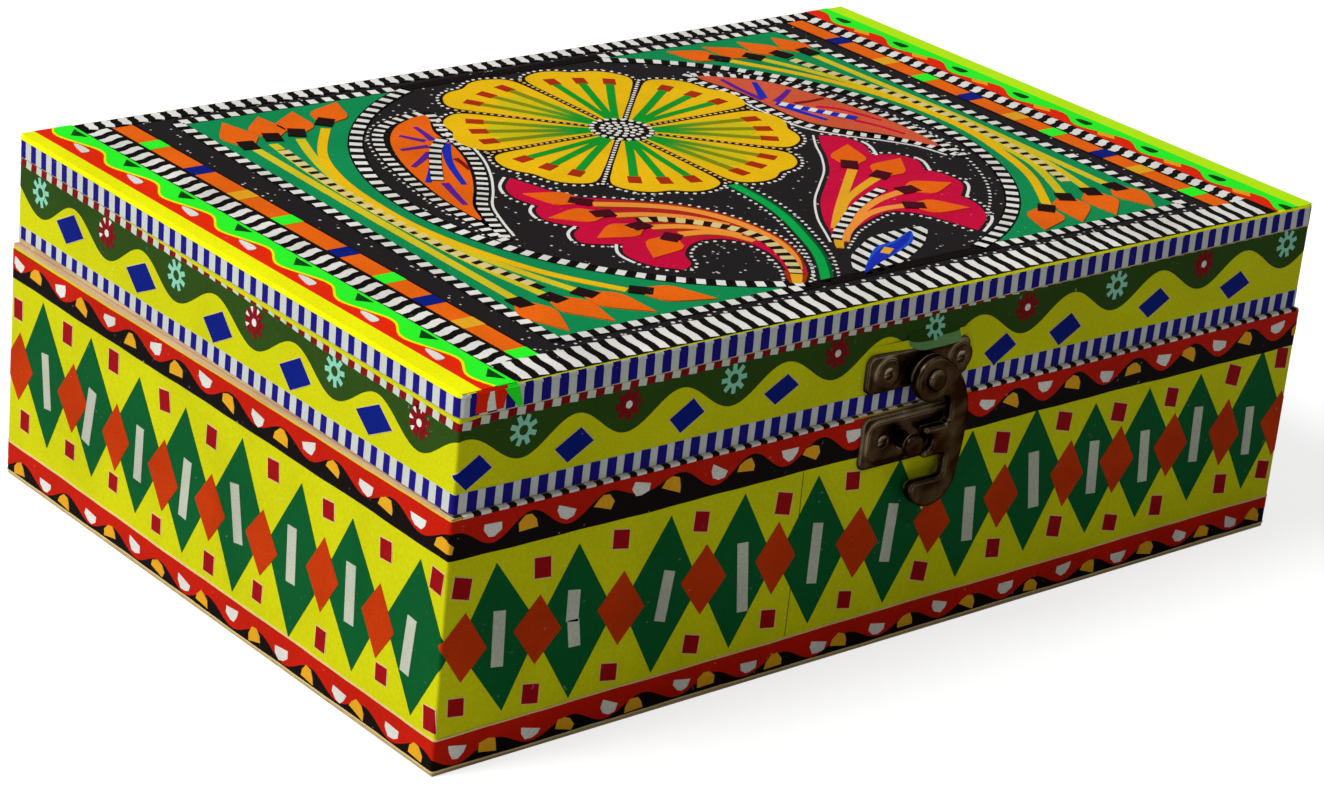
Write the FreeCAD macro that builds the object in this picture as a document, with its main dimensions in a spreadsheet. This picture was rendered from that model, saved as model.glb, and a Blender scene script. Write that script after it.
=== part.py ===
import FreeCAD, Part
import math
import os
import Sketcher

# Wooden storage box with a hinged lid, wrapped in adhesive film and closed by a swinging hook.
# Origin at the centre of the base, +X along the front to the right, +Y to the back, +Z up.
# All sizes are in millimetres and degrees.

SIZES = [
    # Body of the box
    ("box_width", 304.8),
    ("box_depth", 203.2),
    ("bottom_thickness", 3.0),
    ("wall_height", 66.6),
    ("wall_thickness", 8.0),
    # Lid
    ("seam_gap", 0.3),
    ("lid_inset", 1.0),
    ("lid_rail_height", 25.2),
    ("lid_rail_thickness", 8.0),
    ("board_thickness", 6.2),
    ("board_overhang", 0.5),
    ("board_corner_radius", 2.0),
    ("board_edge_round", 0.8),
    # Adhesive film
    ("film_thickness", 0.25),
    ("top_film_thickness", 0.3),
    ("body_film_foot", 1.2),
    ("bare_rim", 1.4),
    ("bare_lid_edge", 1.2),
    ("edge_tape_margin", 0.3),
    ("fold_width", 5.0),
    ("fold_ledge_margin", 0.2),
    # Panel pins
    ("pin_radius", 0.6),
    ("corner_pin_length", 22.0),
    ("corner_pin_margin", 12.0),
    ("panel_pin_length", 16.0),
    ("panel_pin_margin", 30.0),
    ("pin_sink", 0.3),
    # Hinges
    ("hinge_offset", 57.4),
    ("leaf_length", 30.0),
    ("leaf_width", 6.0),
    ("leaf_thickness", 1.0),
    ("knuckle_radius", 2.2),
    ("knuckle_length", 9.8),
    ("knuckle_clearance", 0.3),
    ("hinge_pin_radius", 0.9),
    ("hinge_pin_clearance", 0.05),
    ("hinge_screw_spacing", 18.0),
    ("hinge_screw_inset", 2.8),
    # Wood screws
    ("screw_head_radius", 1.8),
    ("screw_shank_radius", 0.9),
    ("screw_head_depth", 0.8),
    ("screw_length", 6.5),
    ("slot_width", 0.5),
    ("slot_depth", 0.35),
    # Latch plates
    ("latch_centre_x", -1.5),
    ("plate_width", 36.7),
    ("plate_corner_radius", 2.4),
    ("plate_edge_round", 0.4),
    ("latch_plate_height", 10.8),
    ("latch_plate_rise", 5.6),
    ("latch_plate_thickness", 1.4),
    ("latch_screw_spacing", 26.2),
    ("latch_screw_shift", 1.6),
    ("latch_dome_radius", 4.3),
    ("latch_dome_height", 0.6),
    ("keeper_plate_height", 15.0),
    ("keeper_rim_gap", 0.3),
    ("keeper_base_thickness", 0.9),
    ("keeper_pad_thickness", 0.6),
    ("keeper_pad_margin", 1.8),
    ("keeper_pad_radius", 3.6),
    ("keeper_screw_spacing", 22.4),
    # Hook and what it turns and catches on
    ("pivot_x", 1.0),
    ("pivot_rise", 8.1),
    ("hook_gap", 0.3),
    ("hook_thickness", 3.0),
    ("hook_edge_round", 0.7),
    ("eye_radius", 6.4),
    ("eye_crown_angle", 50.0),
    ("eye_foot_angle", 300.0),
    ("arm_reach", 13.9),
    ("arm_width", 6.6),
    ("hook_drop", 37.2),
    ("arm_crown_drop", 13.0),
    ("arm_bend", 3.3),
    ("tail_height", 8.0),
    ("tail_reach", 4.3),
    ("tail_radius", 9.2),
    ("tail_waist", 1.6),
    ("tail_bend", 2.0),
    ("notch_drop", 18.2),
    ("notch_offset", 0.4),
    ("notch_clearance", 0.4),
    ("tooth_height", 8.4),
    ("tooth_shoulder", 1.0),
    ("latched_turn", 20.0),
    ("rivet_radius", 1.8),
    ("rivet_clearance", 0.08),
    ("rivet_head_radius", 3.0),
    ("rivet_head_height", 1.1),
    ("boss_radius", 4.6),
    ("boss_gap", 0.2),
    ("stud_radius", 2.2),
    ("stud_head_radius", 3.2),
    ("stud_head_height", 2.0),
    ("stud_head_gap", 0.3),
]

doc = FreeCAD.newDocument("storage_box")
sheet = doc.addObject("Spreadsheet::Sheet", "Sizes")
for row, (alias, number) in enumerate(SIZES, start=1):
    sheet.set(f"A{row}", alias)
    sheet.set(f"B{row}", str(number))
    sheet.setAlias(f"B{row}", alias)
doc.recompute()

# Heights and faces that several pieces share, as expressions on the sheet
RIM = "(Sizes.bottom_thickness + Sizes.wall_height)"
SEAM = f"({RIM} + Sizes.seam_gap / 2)"
LID_FOOT = f"({RIM} + Sizes.seam_gap)"
LID_SHOULDER = f"({LID_FOOT} + Sizes.lid_rail_height)"
BOARD_TOP = f"({LID_SHOULDER} + Sizes.board_thickness)"
LID_WIDTH = "(Sizes.box_width - 2 * Sizes.lid_inset)"
LID_DEPTH = "(Sizes.box_depth - 2 * Sizes.lid_inset)"
BOARD_WIDTH = f"({LID_WIDTH} + 2 * Sizes.board_overhang)"
BOARD_DEPTH = f"({LID_DEPTH} + 2 * Sizes.board_overhang)"
HINGE_X = "(Sizes.box_width / 2 - Sizes.hinge_offset)"
HINGE_Y = "(Sizes.box_depth / 2 + Sizes.film_thickness + Sizes.knuckle_clearance + Sizes.knuckle_radius)"
LATCH_Y = f"(-{LID_DEPTH} / 2 - Sizes.film_thickness)"
KEEPER_Y = "(-Sizes.box_depth / 2 - Sizes.film_thickness)"
KEEPER_THICKNESS = "(Sizes.keeper_base_thickness + Sizes.keeper_pad_thickness)"
HOOK_BACK_Y = f"({KEEPER_Y} - {KEEPER_THICKNESS} - Sizes.hook_gap)"
HOOK_FRONT_Y = f"({HOOK_BACK_Y} - Sizes.hook_thickness)"
PIVOT_Z = f"({LID_FOOT} + Sizes.pivot_rise)"
LATCH_PLATE_Z = f"({LID_FOOT} + Sizes.latch_plate_rise + Sizes.latch_plate_height / 2)"
KEEPER_PLATE_Z = f"({RIM} - Sizes.keeper_rim_gap - Sizes.keeper_plate_height / 2)"
NOTCH_X = "(-Sizes.notch_offset)"
NOTCH_Z = "(-Sizes.notch_drop)"
STUD_X = (f"(Sizes.pivot_x + {NOTCH_X} * cos(Sizes.latched_turn)"
          f" + {NOTCH_Z} * sin(Sizes.latched_turn))")
STUD_Z = (f"({PIVOT_Z} - {NOTCH_X} * sin(Sizes.latched_turn)"
          f" + {NOTCH_Z} * cos(Sizes.latched_turn))")

sub_parts = []


def value(expression):
    """Number that an expression on the sheet gives now."""
    return float(sheet.evalExpression(expression))


def keep(piece, label):
    """Name a finished sub-part and list it for export."""
    piece.Label = label
    sub_parts.append(piece)
    return piece


def place(piece, x="0", y="0", z="0"):
    """Bind a piece's position to expressions."""
    for axis, expression in zip("xyz", (x, y, z)):
        piece.setExpression(f"Placement.Base.{axis}", expression)
    return piece


def turn(piece, axis, degrees):
    """Turn a piece about one of its own axes."""
    piece.Placement = FreeCAD.Placement(FreeCAD.Vector(), FreeCAD.Rotation(axis, degrees))
    return piece


def block(length, depth, height, x="0", y="0", z="0"):
    """Rectangular board, centred on x and y, standing on z."""
    box = doc.addObject("Part::Box", "Board")
    box.setExpression("Length", length)
    box.setExpression("Width", depth)
    box.setExpression("Height", height)
    return place(box, f"{x} - {length} / 2", f"{y} - {depth} / 2", z)


def rod(radius, length, x, y, z, axis=None, degrees=0):
    """Round rod from a point, along +Z unless it is turned."""
    cylinder = doc.addObject("Part::Cylinder", "Rod")
    cylinder.setExpression("Radius", radius)
    cylinder.setExpression("Height", length)
    if axis is not None:
        turn(cylinder, axis, degrees)
    return place(cylinder, x, y, z)


def group(pieces):
    """Separate solids kept as one group."""
    compound = doc.addObject("Part::Compound", "Group")
    compound.Links = pieces
    return compound


def cut(base, tool):
    """The base with the tool's room taken out of it."""
    result = doc.addObject("Part::Cut", "Cut")
    result.Base = base
    result.Tool = tool
    return result


def fuse(pieces):
    """Several solids joined into one."""
    result = doc.addObject("Part::MultiFuse", "Fuse")
    result.Shapes = pieces
    return result


def sketch_on(body, role):
    """New sketch on one of the body's origin planes."""
    sketch = body.newObject("Sketcher::SketchObject", "Outline")
    plane = [feature for feature in body.Origin.OriginFeatures if feature.Role == role][0]
    sketch.AttachmentSupport = [(plane, "")]
    sketch.MapMode = "FlatFace"
    return sketch


def pin_point(sketch, geometry, position, x, y):
    """Hold a point of a sketch at two expressions."""
    for kind, expression in (("DistanceX", x), ("DistanceY", y)):
        number = sketch.addConstraint(
            Sketcher.Constraint(kind, -1, 1, geometry, position, value(expression)))
        sketch.setExpression(f"Constraints[{number}]", expression)


def circle(sketch, x, y, radius):
    """Full circle in a sketch."""
    centre = FreeCAD.Vector(value(x), value(y), 0)
    normal = FreeCAD.Vector(0, 0, 1)
    geometry = sketch.addGeometry(Part.Circle(centre, normal, value(radius)), False)
    pin_point(sketch, geometry, 3, x, y)
    number = sketch.addConstraint(Sketcher.Constraint("Radius", geometry, value(radius)))
    sketch.setExpression(f"Constraints[{number}]", radius)


def arc_between(start, end, radius):
    """Arc of under a half turn from start to end, turning left for a positive radius."""
    chord = end - start
    rise = math.sqrt(radius ** 2 - chord.Length ** 2 / 4)
    left = FreeCAD.Vector(-chord.y, chord.x, 0).normalize()
    centre = (start + end) / 2 + left * math.copysign(rise, radius)
    first = math.atan2(start.y - centre.y, start.x - centre.x)
    last = math.atan2(end.y - centre.y, end.x - centre.x)
    if radius < 0:
        first, last = last, first
    round_edge = Part.Circle(centre, FreeCAD.Vector(0, 0, 1), abs(radius))
    return Part.ArcOfCircle(round_edge, first, last)


def outline(sketch, corners):
    """Closed outline. Each corner is x, y and the edge to the next corner.

    The edge is None for a straight line, or the expression of an arc's radius, which turns
    left when positive and right when negative.
    """
    points = [FreeCAD.Vector(value(x), value(y), 0) for x, y, edge in corners]
    for index, (x, y, edge) in enumerate(corners):
        following = (index + 1) % len(corners)
        start, end = points[index], points[following]
        next_x, next_y = corners[following][:2]
        ends = (1, 2)
        if edge is None:
            geometry = sketch.addGeometry(Part.LineSegment(start, end), False)
        else:
            radius = value(edge)
            geometry = sketch.addGeometry(arc_between(start, end, radius), False)
            number = sketch.addConstraint(Sketcher.Constraint("Radius", geometry, abs(radius)))
            sketch.setExpression(f"Constraints[{number}]", f"abs({edge})")
            if radius < 0:
                ends = (2, 1)
        pin_point(sketch, geometry, ends[0], x, y)
        pin_point(sketch, geometry, ends[1], next_x, next_y)


def rounded_rectangle(sketch, length, height, radius):
    """Rectangle about the sketch's origin with round corners."""
    half_x = f"{length} / 2"
    half_y = f"{height} / 2"
    near_x = f"({length} / 2 - {radius})"
    near_y = f"({height} / 2 - {radius})"
    outline(sketch, [
        (f"-{near_x}", f"-{half_y}", None),
        (near_x, f"-{half_y}", radius),
        (half_x, f"-{near_y}", None),
        (half_x, near_y, radius),
        (near_x, half_y, None),
        (f"-{near_x}", half_y, radius),
        (f"-{half_x}", near_y, None),
        (f"-{half_x}", f"-{near_y}", radius),
    ])


def rectangle(sketch, low_x, low_y, high_x, high_y):
    """Rectangle with sharp corners."""
    outline(sketch, [
        (low_x, low_y, None),
        (high_x, low_y, None),
        (high_x, high_y, None),
        (low_x, high_y, None),
    ])


def pad(body, sketch, length, midplane=False):
    """Solid of a sketch, square to its plane."""
    feature = body.newObject("PartDesign::Pad", "Pad")
    feature.Profile = sketch
    feature.setExpression("Length", length)
    feature.Midplane = midplane
    return feature


def pocket_through(body, sketch):
    """Hole of a sketch's outline through the whole body."""
    feature = body.newObject("PartDesign::Pocket", "Hole")
    feature.Profile = sketch
    feature.Type = 1
    feature.Midplane = True
    return feature


def round_face(body, feature, direction, radius):
    """Ease all the edges of the flat faces that lie furthest along a direction."""
    doc.recompute()
    flat = {f"Face{number}": face.CenterOfMass.dot(direction)
            for number, face in enumerate(feature.Shape.Faces, start=1)
            if isinstance(face.Surface, Part.Plane)
            and math.isclose(abs(face.normalAt(0, 0).dot(direction)), 1)}
    furthest = max(flat.values())
    fillet = body.newObject("PartDesign::Fillet", "EasedEdge")
    fillet.Base = (feature, [name for name, reach in flat.items() if math.isclose(reach, furthest)])
    fillet.setExpression("Radius", radius)
    return fillet


def new_body(name):
    """Body whose features are made in its own frame."""
    return doc.addObject("PartDesign::Body", name)


def screw(x, y, z, axis=None, degrees=0):
    """Countersunk slotted screw and the room that it takes.

    Its head is flush at a point, its shank goes along -Z, and it is turned about its head.
    """
    head = doc.addObject("Part::Cone", "Head")
    head.setExpression("Radius1", "Sizes.screw_shank_radius")
    head.setExpression("Radius2", "Sizes.screw_head_radius")
    head.setExpression("Height", "Sizes.screw_head_depth")
    place(head, z="-Sizes.screw_head_depth")
    shank = rod("Sizes.screw_shank_radius", "(Sizes.screw_length - Sizes.screw_head_depth)",
                "0", "0", "-Sizes.screw_length")
    across_head = "(2 * Sizes.screw_head_radius)"
    slot = block(across_head, "Sizes.slot_width", "Sizes.slot_depth", z="-Sizes.slot_depth")
    solid = fuse([head, shank])
    slotted = cut(solid, slot)
    room = group([solid])
    for piece in (slotted, room):
        if axis is not None:
            turn(piece, axis, degrees)
        place(piece, x, y, z)
    return slotted, room


def screw_group(label, places, axis=None, degrees=0):
    """Group of screws, and the room that they take in what they hold."""
    pairs = [screw(x, y, z, axis, degrees) for x, y, z in places]
    keep(group([slotted for slotted, room in pairs]), label)
    return group([room for slotted, room in pairs])


X_AXIS = FreeCAD.Vector(1, 0, 0)
Y_AXIS = FreeCAD.Vector(0, 1, 0)
Z_AXIS = FreeCAD.Vector(0, 0, 1)
SIDES = ("-", "")

# Panel pins
# Corner pins go in from the front and back walls, bottom pins from below, lid pins the same way.


def corner_pins(depth, width, thickness, heights):
    """Pins through the front and back boards into the ends of the side boards."""
    pins = []
    for side_y, degrees in (("-", -90), ("", 90)):
        for side_x in SIDES:
            for height in heights:
                pins.append(rod("Sizes.pin_radius", "Sizes.corner_pin_length",
                                f"{side_x}({width} / 2 - {thickness} / 2)",
                                f"{side_y}({depth} / 2 - Sizes.pin_sink)", height, X_AXIS, degrees))
    return group(pins)


def rim_pins(width, depth, thickness, top, length):
    """Upright pins round the edge of a flat board, with their tops at one height."""
    along = (f"({width} / 2 - Sizes.panel_pin_margin)", "0", f"-({width} / 2 - Sizes.panel_pin_margin)")
    across = (f"({depth} / 2 - Sizes.panel_pin_margin)", f"-({depth} / 2 - Sizes.panel_pin_margin)")
    pins = []
    for side in SIDES:
        for x in along:
            pins.append(rod("Sizes.pin_radius", length, x,
                            f"{side}({depth} / 2 - {thickness} / 2)", f"{top} - {length}"))
        for y in across:
            pins.append(rod("Sizes.pin_radius", length,
                            f"{side}({width} / 2 - {thickness} / 2)", y, f"{top} - {length}"))
    return group(pins)


WALL_PIN_HEIGHTS = (
    "(Sizes.bottom_thickness + Sizes.corner_pin_margin)",
    "(Sizes.bottom_thickness + Sizes.wall_height / 2)",
    f"({RIM} - Sizes.corner_pin_margin)",
)
RAIL_PIN_HEIGHTS = (
    f"({LID_FOOT} + Sizes.lid_rail_height / 4)",
    f"({LID_FOOT} + Sizes.lid_rail_height * 3 / 4)",
)
wall_pins = keep(corner_pins("Sizes.box_depth", "Sizes.box_width", "Sizes.wall_thickness", WALL_PIN_HEIGHTS),
                 "corner_pins")
bottom_pins = keep(rim_pins("Sizes.box_width", "Sizes.box_depth", "Sizes.wall_thickness",
                            "(Sizes.pin_sink + Sizes.panel_pin_length)", "Sizes.panel_pin_length"),
                   "bottom_pins")
rail_pins = keep(corner_pins(LID_DEPTH, LID_WIDTH, "Sizes.lid_rail_thickness", RAIL_PIN_HEIGHTS),
                 "lid_corner_pins")
board_pins = keep(rim_pins(LID_WIDTH, LID_DEPTH, "Sizes.lid_rail_thickness",
                           f"({BOARD_TOP} - Sizes.pin_sink)", "Sizes.panel_pin_length"),
                  "board_pins")

# Screws
# Hinge screws stand upright in the rims, latch screws go straight into the front.
LEAF_SCREW_Y = "(Sizes.box_depth / 2 - Sizes.leaf_width + Sizes.hinge_screw_inset)"
hinge_screw_x = [f"({side}{HINGE_X} {sign} Sizes.hinge_screw_spacing / 2)"
                 for side in SIDES for sign in "-+"]
box_leaf_room = screw_group("hinge_box_screws", [(x, LEAF_SCREW_Y, SEAM) for x in hinge_screw_x])
lid_leaf_room = screw_group("hinge_lid_screws", [(x, LEAF_SCREW_Y, SEAM) for x in hinge_screw_x], X_AXIS, 180)
DOME_HEIGHT = "(Sizes.latch_plate_thickness + Sizes.latch_dome_height)"
latch_face = f"({LATCH_Y} - {DOME_HEIGHT})"
keeper_face = f"({KEEPER_Y} - {KEEPER_THICKNESS})"
latch_screw_x = [f"(Sizes.latch_centre_x + Sizes.latch_screw_shift {sign} Sizes.latch_screw_spacing / 2)"
                 for sign in "-+"]
keeper_screw_x = [f"(Sizes.latch_centre_x {sign} Sizes.keeper_screw_spacing / 2)" for sign in "-+"]
latch_screw_room = screw_group("latch_screws", [(x, latch_face, LATCH_PLATE_Z) for x in latch_screw_x],
                               X_AXIS, 90)
keeper_screw_room = screw_group("keeper_screws", [(x, keeper_face, KEEPER_PLATE_Z) for x in keeper_screw_x],
                                X_AXIS, 90)

# Hinge leaf rooms
# Each leaf is let into its rim, so its face lies in the middle of the seam.
LEAF_SINK = "(Sizes.leaf_thickness - Sizes.seam_gap / 2)"
LEAF_ROOM_Y = "(Sizes.box_depth / 2 - Sizes.leaf_width / 2)"


def leaf_rooms(z):
    """Recesses for the two leaves in one rim, open at the back."""
    return [block("Sizes.leaf_length", "Sizes.leaf_width", LEAF_SINK,
                  f"{side}{HINGE_X}", LEAF_ROOM_Y, z)
            for side in SIDES]


# Walls of the body
INNER_DEPTH = "(Sizes.box_depth - 2 * Sizes.wall_thickness)"
WALL_Y = "(Sizes.box_depth / 2 - Sizes.wall_thickness / 2)"
WALL_X = "(Sizes.box_width / 2 - Sizes.wall_thickness / 2)"
front_wall = block("Sizes.box_width", "Sizes.wall_thickness", "Sizes.wall_height",
                   y=f"-{WALL_Y}", z="Sizes.bottom_thickness")
keep(cut(front_wall, group([wall_pins, bottom_pins, keeper_screw_room])), "body_front_wall")
back_wall = block("Sizes.box_width", "Sizes.wall_thickness", "Sizes.wall_height",
                  y=WALL_Y, z="Sizes.bottom_thickness")
back_rooms = leaf_rooms(f"{RIM} - {LEAF_SINK}")
keep(cut(back_wall, fuse([wall_pins, bottom_pins, box_leaf_room] + back_rooms)), "body_back_wall")
for side, label in zip(SIDES, ("body_left_wall", "body_right_wall")):
    side_wall = block("Sizes.wall_thickness", INNER_DEPTH, "Sizes.wall_height",
                      x=f"{side}{WALL_X}", z="Sizes.bottom_thickness")
    keep(cut(side_wall, group([wall_pins, bottom_pins])), label)
bottom = block("Sizes.box_width", "Sizes.box_depth", "Sizes.bottom_thickness")
keep(cut(bottom, bottom_pins), "bottom_panel")

# Rails and board of the lid
RAIL_Y = f"({LID_DEPTH} / 2 - Sizes.lid_rail_thickness / 2)"
RAIL_X = f"({LID_WIDTH} / 2 - Sizes.lid_rail_thickness / 2)"
RAIL_INNER_DEPTH = f"({LID_DEPTH} - 2 * Sizes.lid_rail_thickness)"
front_rail = block(LID_WIDTH, "Sizes.lid_rail_thickness", "Sizes.lid_rail_height", y=f"-{RAIL_Y}", z=LID_FOOT)
keep(cut(front_rail, group([rail_pins, board_pins, latch_screw_room])), "lid_front_rail")
back_rail = block(LID_WIDTH, "Sizes.lid_rail_thickness", "Sizes.lid_rail_height", y=RAIL_Y, z=LID_FOOT)
keep(cut(back_rail, fuse([rail_pins, board_pins, lid_leaf_room] + leaf_rooms(LID_FOOT))), "lid_back_rail")
for side, label in zip(SIDES, ("lid_left_rail", "lid_right_rail")):
    side_rail = block("Sizes.lid_rail_thickness", RAIL_INNER_DEPTH, "Sizes.lid_rail_height",
                      x=f"{side}{RAIL_X}", z=LID_FOOT)
    keep(cut(side_rail, group([rail_pins, board_pins])), label)

board = new_body("Board")
board_outline = sketch_on(board, "XY_Plane")
rounded_rectangle(board_outline, BOARD_WIDTH, BOARD_DEPTH, "Sizes.board_corner_radius")
board_pad = pad(board, board_outline, "Sizes.board_thickness")
round_face(board, board_pad, Z_AXIS, "Sizes.board_edge_round")
place(board, z=LID_SHOULDER)
keep(cut(board, board_pins), "lid_top_board")

# Adhesive film
# Each wrap is a closed sleeve round four faces.


def wrap(width, depth, height, z):
    """Film sleeve on the outside of a rectangular frame."""
    body = new_body("Wrap")
    sketch = sketch_on(body, "XY_Plane")
    rectangle(sketch, f"-{width} / 2", f"-{depth} / 2", f"{width} / 2", f"{depth} / 2")
    rectangle(sketch, f"-{width} / 2 - Sizes.film_thickness", f"-{depth} / 2 - Sizes.film_thickness",
              f"{width} / 2 + Sizes.film_thickness", f"{depth} / 2 + Sizes.film_thickness")
    pad(body, sketch, height)
    return place(body, z=z)


body_film = wrap("Sizes.box_width", "Sizes.box_depth", f"{RIM} - Sizes.bare_rim - Sizes.body_film_foot",
                 "Sizes.body_film_foot")
keep(cut(body_film, keeper_screw_room), "body_wrap")
lid_film = wrap(LID_WIDTH, LID_DEPTH, "Sizes.lid_rail_height - Sizes.bare_lid_edge",
                f"{LID_FOOT} + Sizes.bare_lid_edge")
keep(cut(lid_film, latch_screw_room), "lid_wrap")

edge_tape = new_body("EdgeTape")
edge_outline = sketch_on(edge_tape, "XY_Plane")
rounded_rectangle(edge_outline, BOARD_WIDTH, BOARD_DEPTH, "Sizes.board_corner_radius")
rounded_rectangle(edge_outline, f"({BOARD_WIDTH} + 2 * Sizes.film_thickness)",
                  f"({BOARD_DEPTH} + 2 * Sizes.film_thickness)",
                  "(Sizes.board_corner_radius + Sizes.film_thickness)")
pad(edge_tape, edge_outline, "Sizes.board_thickness - Sizes.board_edge_round - Sizes.edge_tape_margin")
keep(place(edge_tape, z=f"{LID_SHOULDER} + Sizes.edge_tape_margin"), "board_edge_tape")

top_sheet = new_body("TopFilm")
top_outline = sketch_on(top_sheet, "XY_Plane")
rounded_rectangle(top_outline, f"({BOARD_WIDTH} - 2 * Sizes.board_edge_round)",
                  f"({BOARD_DEPTH} - 2 * Sizes.board_edge_round)",
                  "(Sizes.board_corner_radius - Sizes.board_edge_round)")
pad(top_sheet, top_outline, "Sizes.top_film_thickness")
keep(place(top_sheet, z=BOARD_TOP), "top_film")

# The front stripe tape is turned under the front rail and shows on the rim's ledge.
FOLD_REACH = "(Sizes.lid_inset - Sizes.fold_ledge_margin + Sizes.fold_width)"
keep(block(LID_WIDTH, FOLD_REACH, "Sizes.seam_gap",
           y=f"-(Sizes.box_depth / 2 - Sizes.fold_ledge_margin - {FOLD_REACH} / 2)", z=RIM), "lid_front_fold")

# Hinges
# The box leaf has the two outer knuckles, the lid leaf the middle one.
KNUCKLE_PITCH = "(Sizes.leaf_length - Sizes.knuckle_length)"
LEAF_PLATE_WIDTH = "(Sizes.leaf_width + Sizes.film_thickness)"
LEAF_INNER_Y = f"(Sizes.box_depth / 2 - Sizes.leaf_width - {HINGE_Y})"
PIN_HOLE_RADIUS = "(Sizes.hinge_pin_radius + Sizes.hinge_pin_clearance)"


def hinge_leaf(label, side, knuckle_places, low_z, screw_room):
    """Flat leaf with knuckles round the hinge line, which is the body's own X axis."""
    body = new_body("Leaf")
    plate = sketch_on(body, "XY_Plane")
    rectangle(plate, "-Sizes.leaf_length / 2", LEAF_INNER_Y, "Sizes.leaf_length / 2",
              f"{LEAF_INNER_Y} + {LEAF_PLATE_WIDTH}")
    plate.setExpression("AttachmentOffset.Base.z", low_z)
    pad(body, plate, "Sizes.leaf_thickness")
    for middle in knuckle_places:
        tongue = sketch_on(body, "XY_Plane")
        rectangle(tongue, f"{middle} - Sizes.knuckle_length / 2", f"{LEAF_INNER_Y} + {LEAF_PLATE_WIDTH} / 2",
                  f"{middle} + Sizes.knuckle_length / 2", "0")
        tongue.setExpression("AttachmentOffset.Base.z", low_z)
        pad(body, tongue, "Sizes.leaf_thickness")
        knuckle = sketch_on(body, "YZ_Plane")
        circle(knuckle, "0", "0", "Sizes.knuckle_radius")
        knuckle.setExpression("AttachmentOffset.Base.z", middle)
        pad(body, knuckle, "Sizes.knuckle_length", midplane=True)
    hole = sketch_on(body, "YZ_Plane")
    circle(hole, "0", "0", PIN_HOLE_RADIUS)
    pocket_through(body, hole)
    place(body, f"{side}{HINGE_X}", HINGE_Y, SEAM)
    return keep(cut(body, screw_room), label)


for side, name in zip(SIDES, ("left", "right")):
    hinge_leaf(f"{name}_hinge_box_leaf", side, (f"-{KNUCKLE_PITCH} / 2", f"{KNUCKLE_PITCH} / 2"),
               "-Sizes.leaf_thickness", box_leaf_room)
    hinge_leaf(f"{name}_hinge_lid_leaf", side, ("0",), "0", lid_leaf_room)
    keep(rod("Sizes.hinge_pin_radius", "Sizes.leaf_length",
             f"{side}{HINGE_X} - Sizes.leaf_length / 2", HINGE_Y, SEAM, Y_AXIS, 90),
         f"{name}_hinge_pin")

# Latch plate on the lid
# A low dome stands round each screw, and a round boss carries the hook clear of the keeper.
OUT = FreeCAD.Vector(0, -1, 0)
BOSS_HEIGHT = f"({LATCH_Y} - {HOOK_BACK_Y} - Sizes.boss_gap)"
PIVOT_FROM_PLATE_X = "(Sizes.pivot_x - Sizes.latch_centre_x)"
PIVOT_FROM_PLATE_Z = f"({PIVOT_Z} - {LATCH_PLATE_Z})"
latch_plate = new_body("LatchPlate")
latch_plate_outline = sketch_on(latch_plate, "XZ_Plane")
rounded_rectangle(latch_plate_outline, "Sizes.plate_width", "Sizes.latch_plate_height",
                  "Sizes.plate_corner_radius")
latch_plate_pad = pad(latch_plate, latch_plate_outline, "Sizes.latch_plate_thickness")
round_face(latch_plate, latch_plate_pad, OUT, "Sizes.plate_edge_round")
dome_outline = sketch_on(latch_plate, "XZ_Plane")
for x in latch_screw_x:
    circle(dome_outline, f"{x} - Sizes.latch_centre_x", "0", "Sizes.latch_dome_radius")
dome_pad = pad(latch_plate, dome_outline, DOME_HEIGHT)
round_face(latch_plate, dome_pad, OUT, "Sizes.plate_edge_round")
boss_outline = sketch_on(latch_plate, "XZ_Plane")
circle(boss_outline, PIVOT_FROM_PLATE_X, PIVOT_FROM_PLATE_Z, "Sizes.boss_radius")
pad(latch_plate, boss_outline, BOSS_HEIGHT)
rivet_hole = sketch_on(latch_plate, "XZ_Plane")
circle(rivet_hole, PIVOT_FROM_PLATE_X, PIVOT_FROM_PLATE_Z, "Sizes.rivet_radius")
pocket_through(latch_plate, rivet_hole)
place(latch_plate, "Sizes.latch_centre_x", LATCH_Y, LATCH_PLATE_Z)
keep(cut(latch_plate, latch_screw_room), "latch_plate")

# Keeper plate on the body, with a raised pad that the stud stands on
STUD_FROM_PLATE_X = f"({STUD_X} - Sizes.latch_centre_x)"
STUD_FROM_PLATE_Z = f"({STUD_Z} - {KEEPER_PLATE_Z})"
keeper = new_body("Keeper")
keeper_outline = sketch_on(keeper, "XZ_Plane")
rounded_rectangle(keeper_outline, "Sizes.plate_width", "Sizes.keeper_plate_height",
                  "Sizes.plate_corner_radius")
keeper_base = pad(keeper, keeper_outline, "Sizes.keeper_base_thickness")
round_face(keeper, keeper_base, OUT, "Sizes.plate_edge_round")
pad_outline = sketch_on(keeper, "XZ_Plane")
rounded_rectangle(pad_outline, "(Sizes.plate_width - 2 * Sizes.keeper_pad_margin)",
                  "(Sizes.keeper_plate_height - 2 * Sizes.keeper_pad_margin)", "Sizes.keeper_pad_radius")
keeper_pad = pad(keeper, pad_outline, KEEPER_THICKNESS)
round_face(keeper, keeper_pad, OUT, "Sizes.plate_edge_round")
stud_hole = sketch_on(keeper, "XZ_Plane")
circle(stud_hole, STUD_FROM_PLATE_X, STUD_FROM_PLATE_Z, "Sizes.stud_radius")
pocket_through(keeper, stud_hole)
place(keeper, "Sizes.latch_centre_x", KEEPER_Y, KEEPER_PLATE_Z)
keep(cut(keeper, keeper_screw_room), "keeper_plate")


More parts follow.
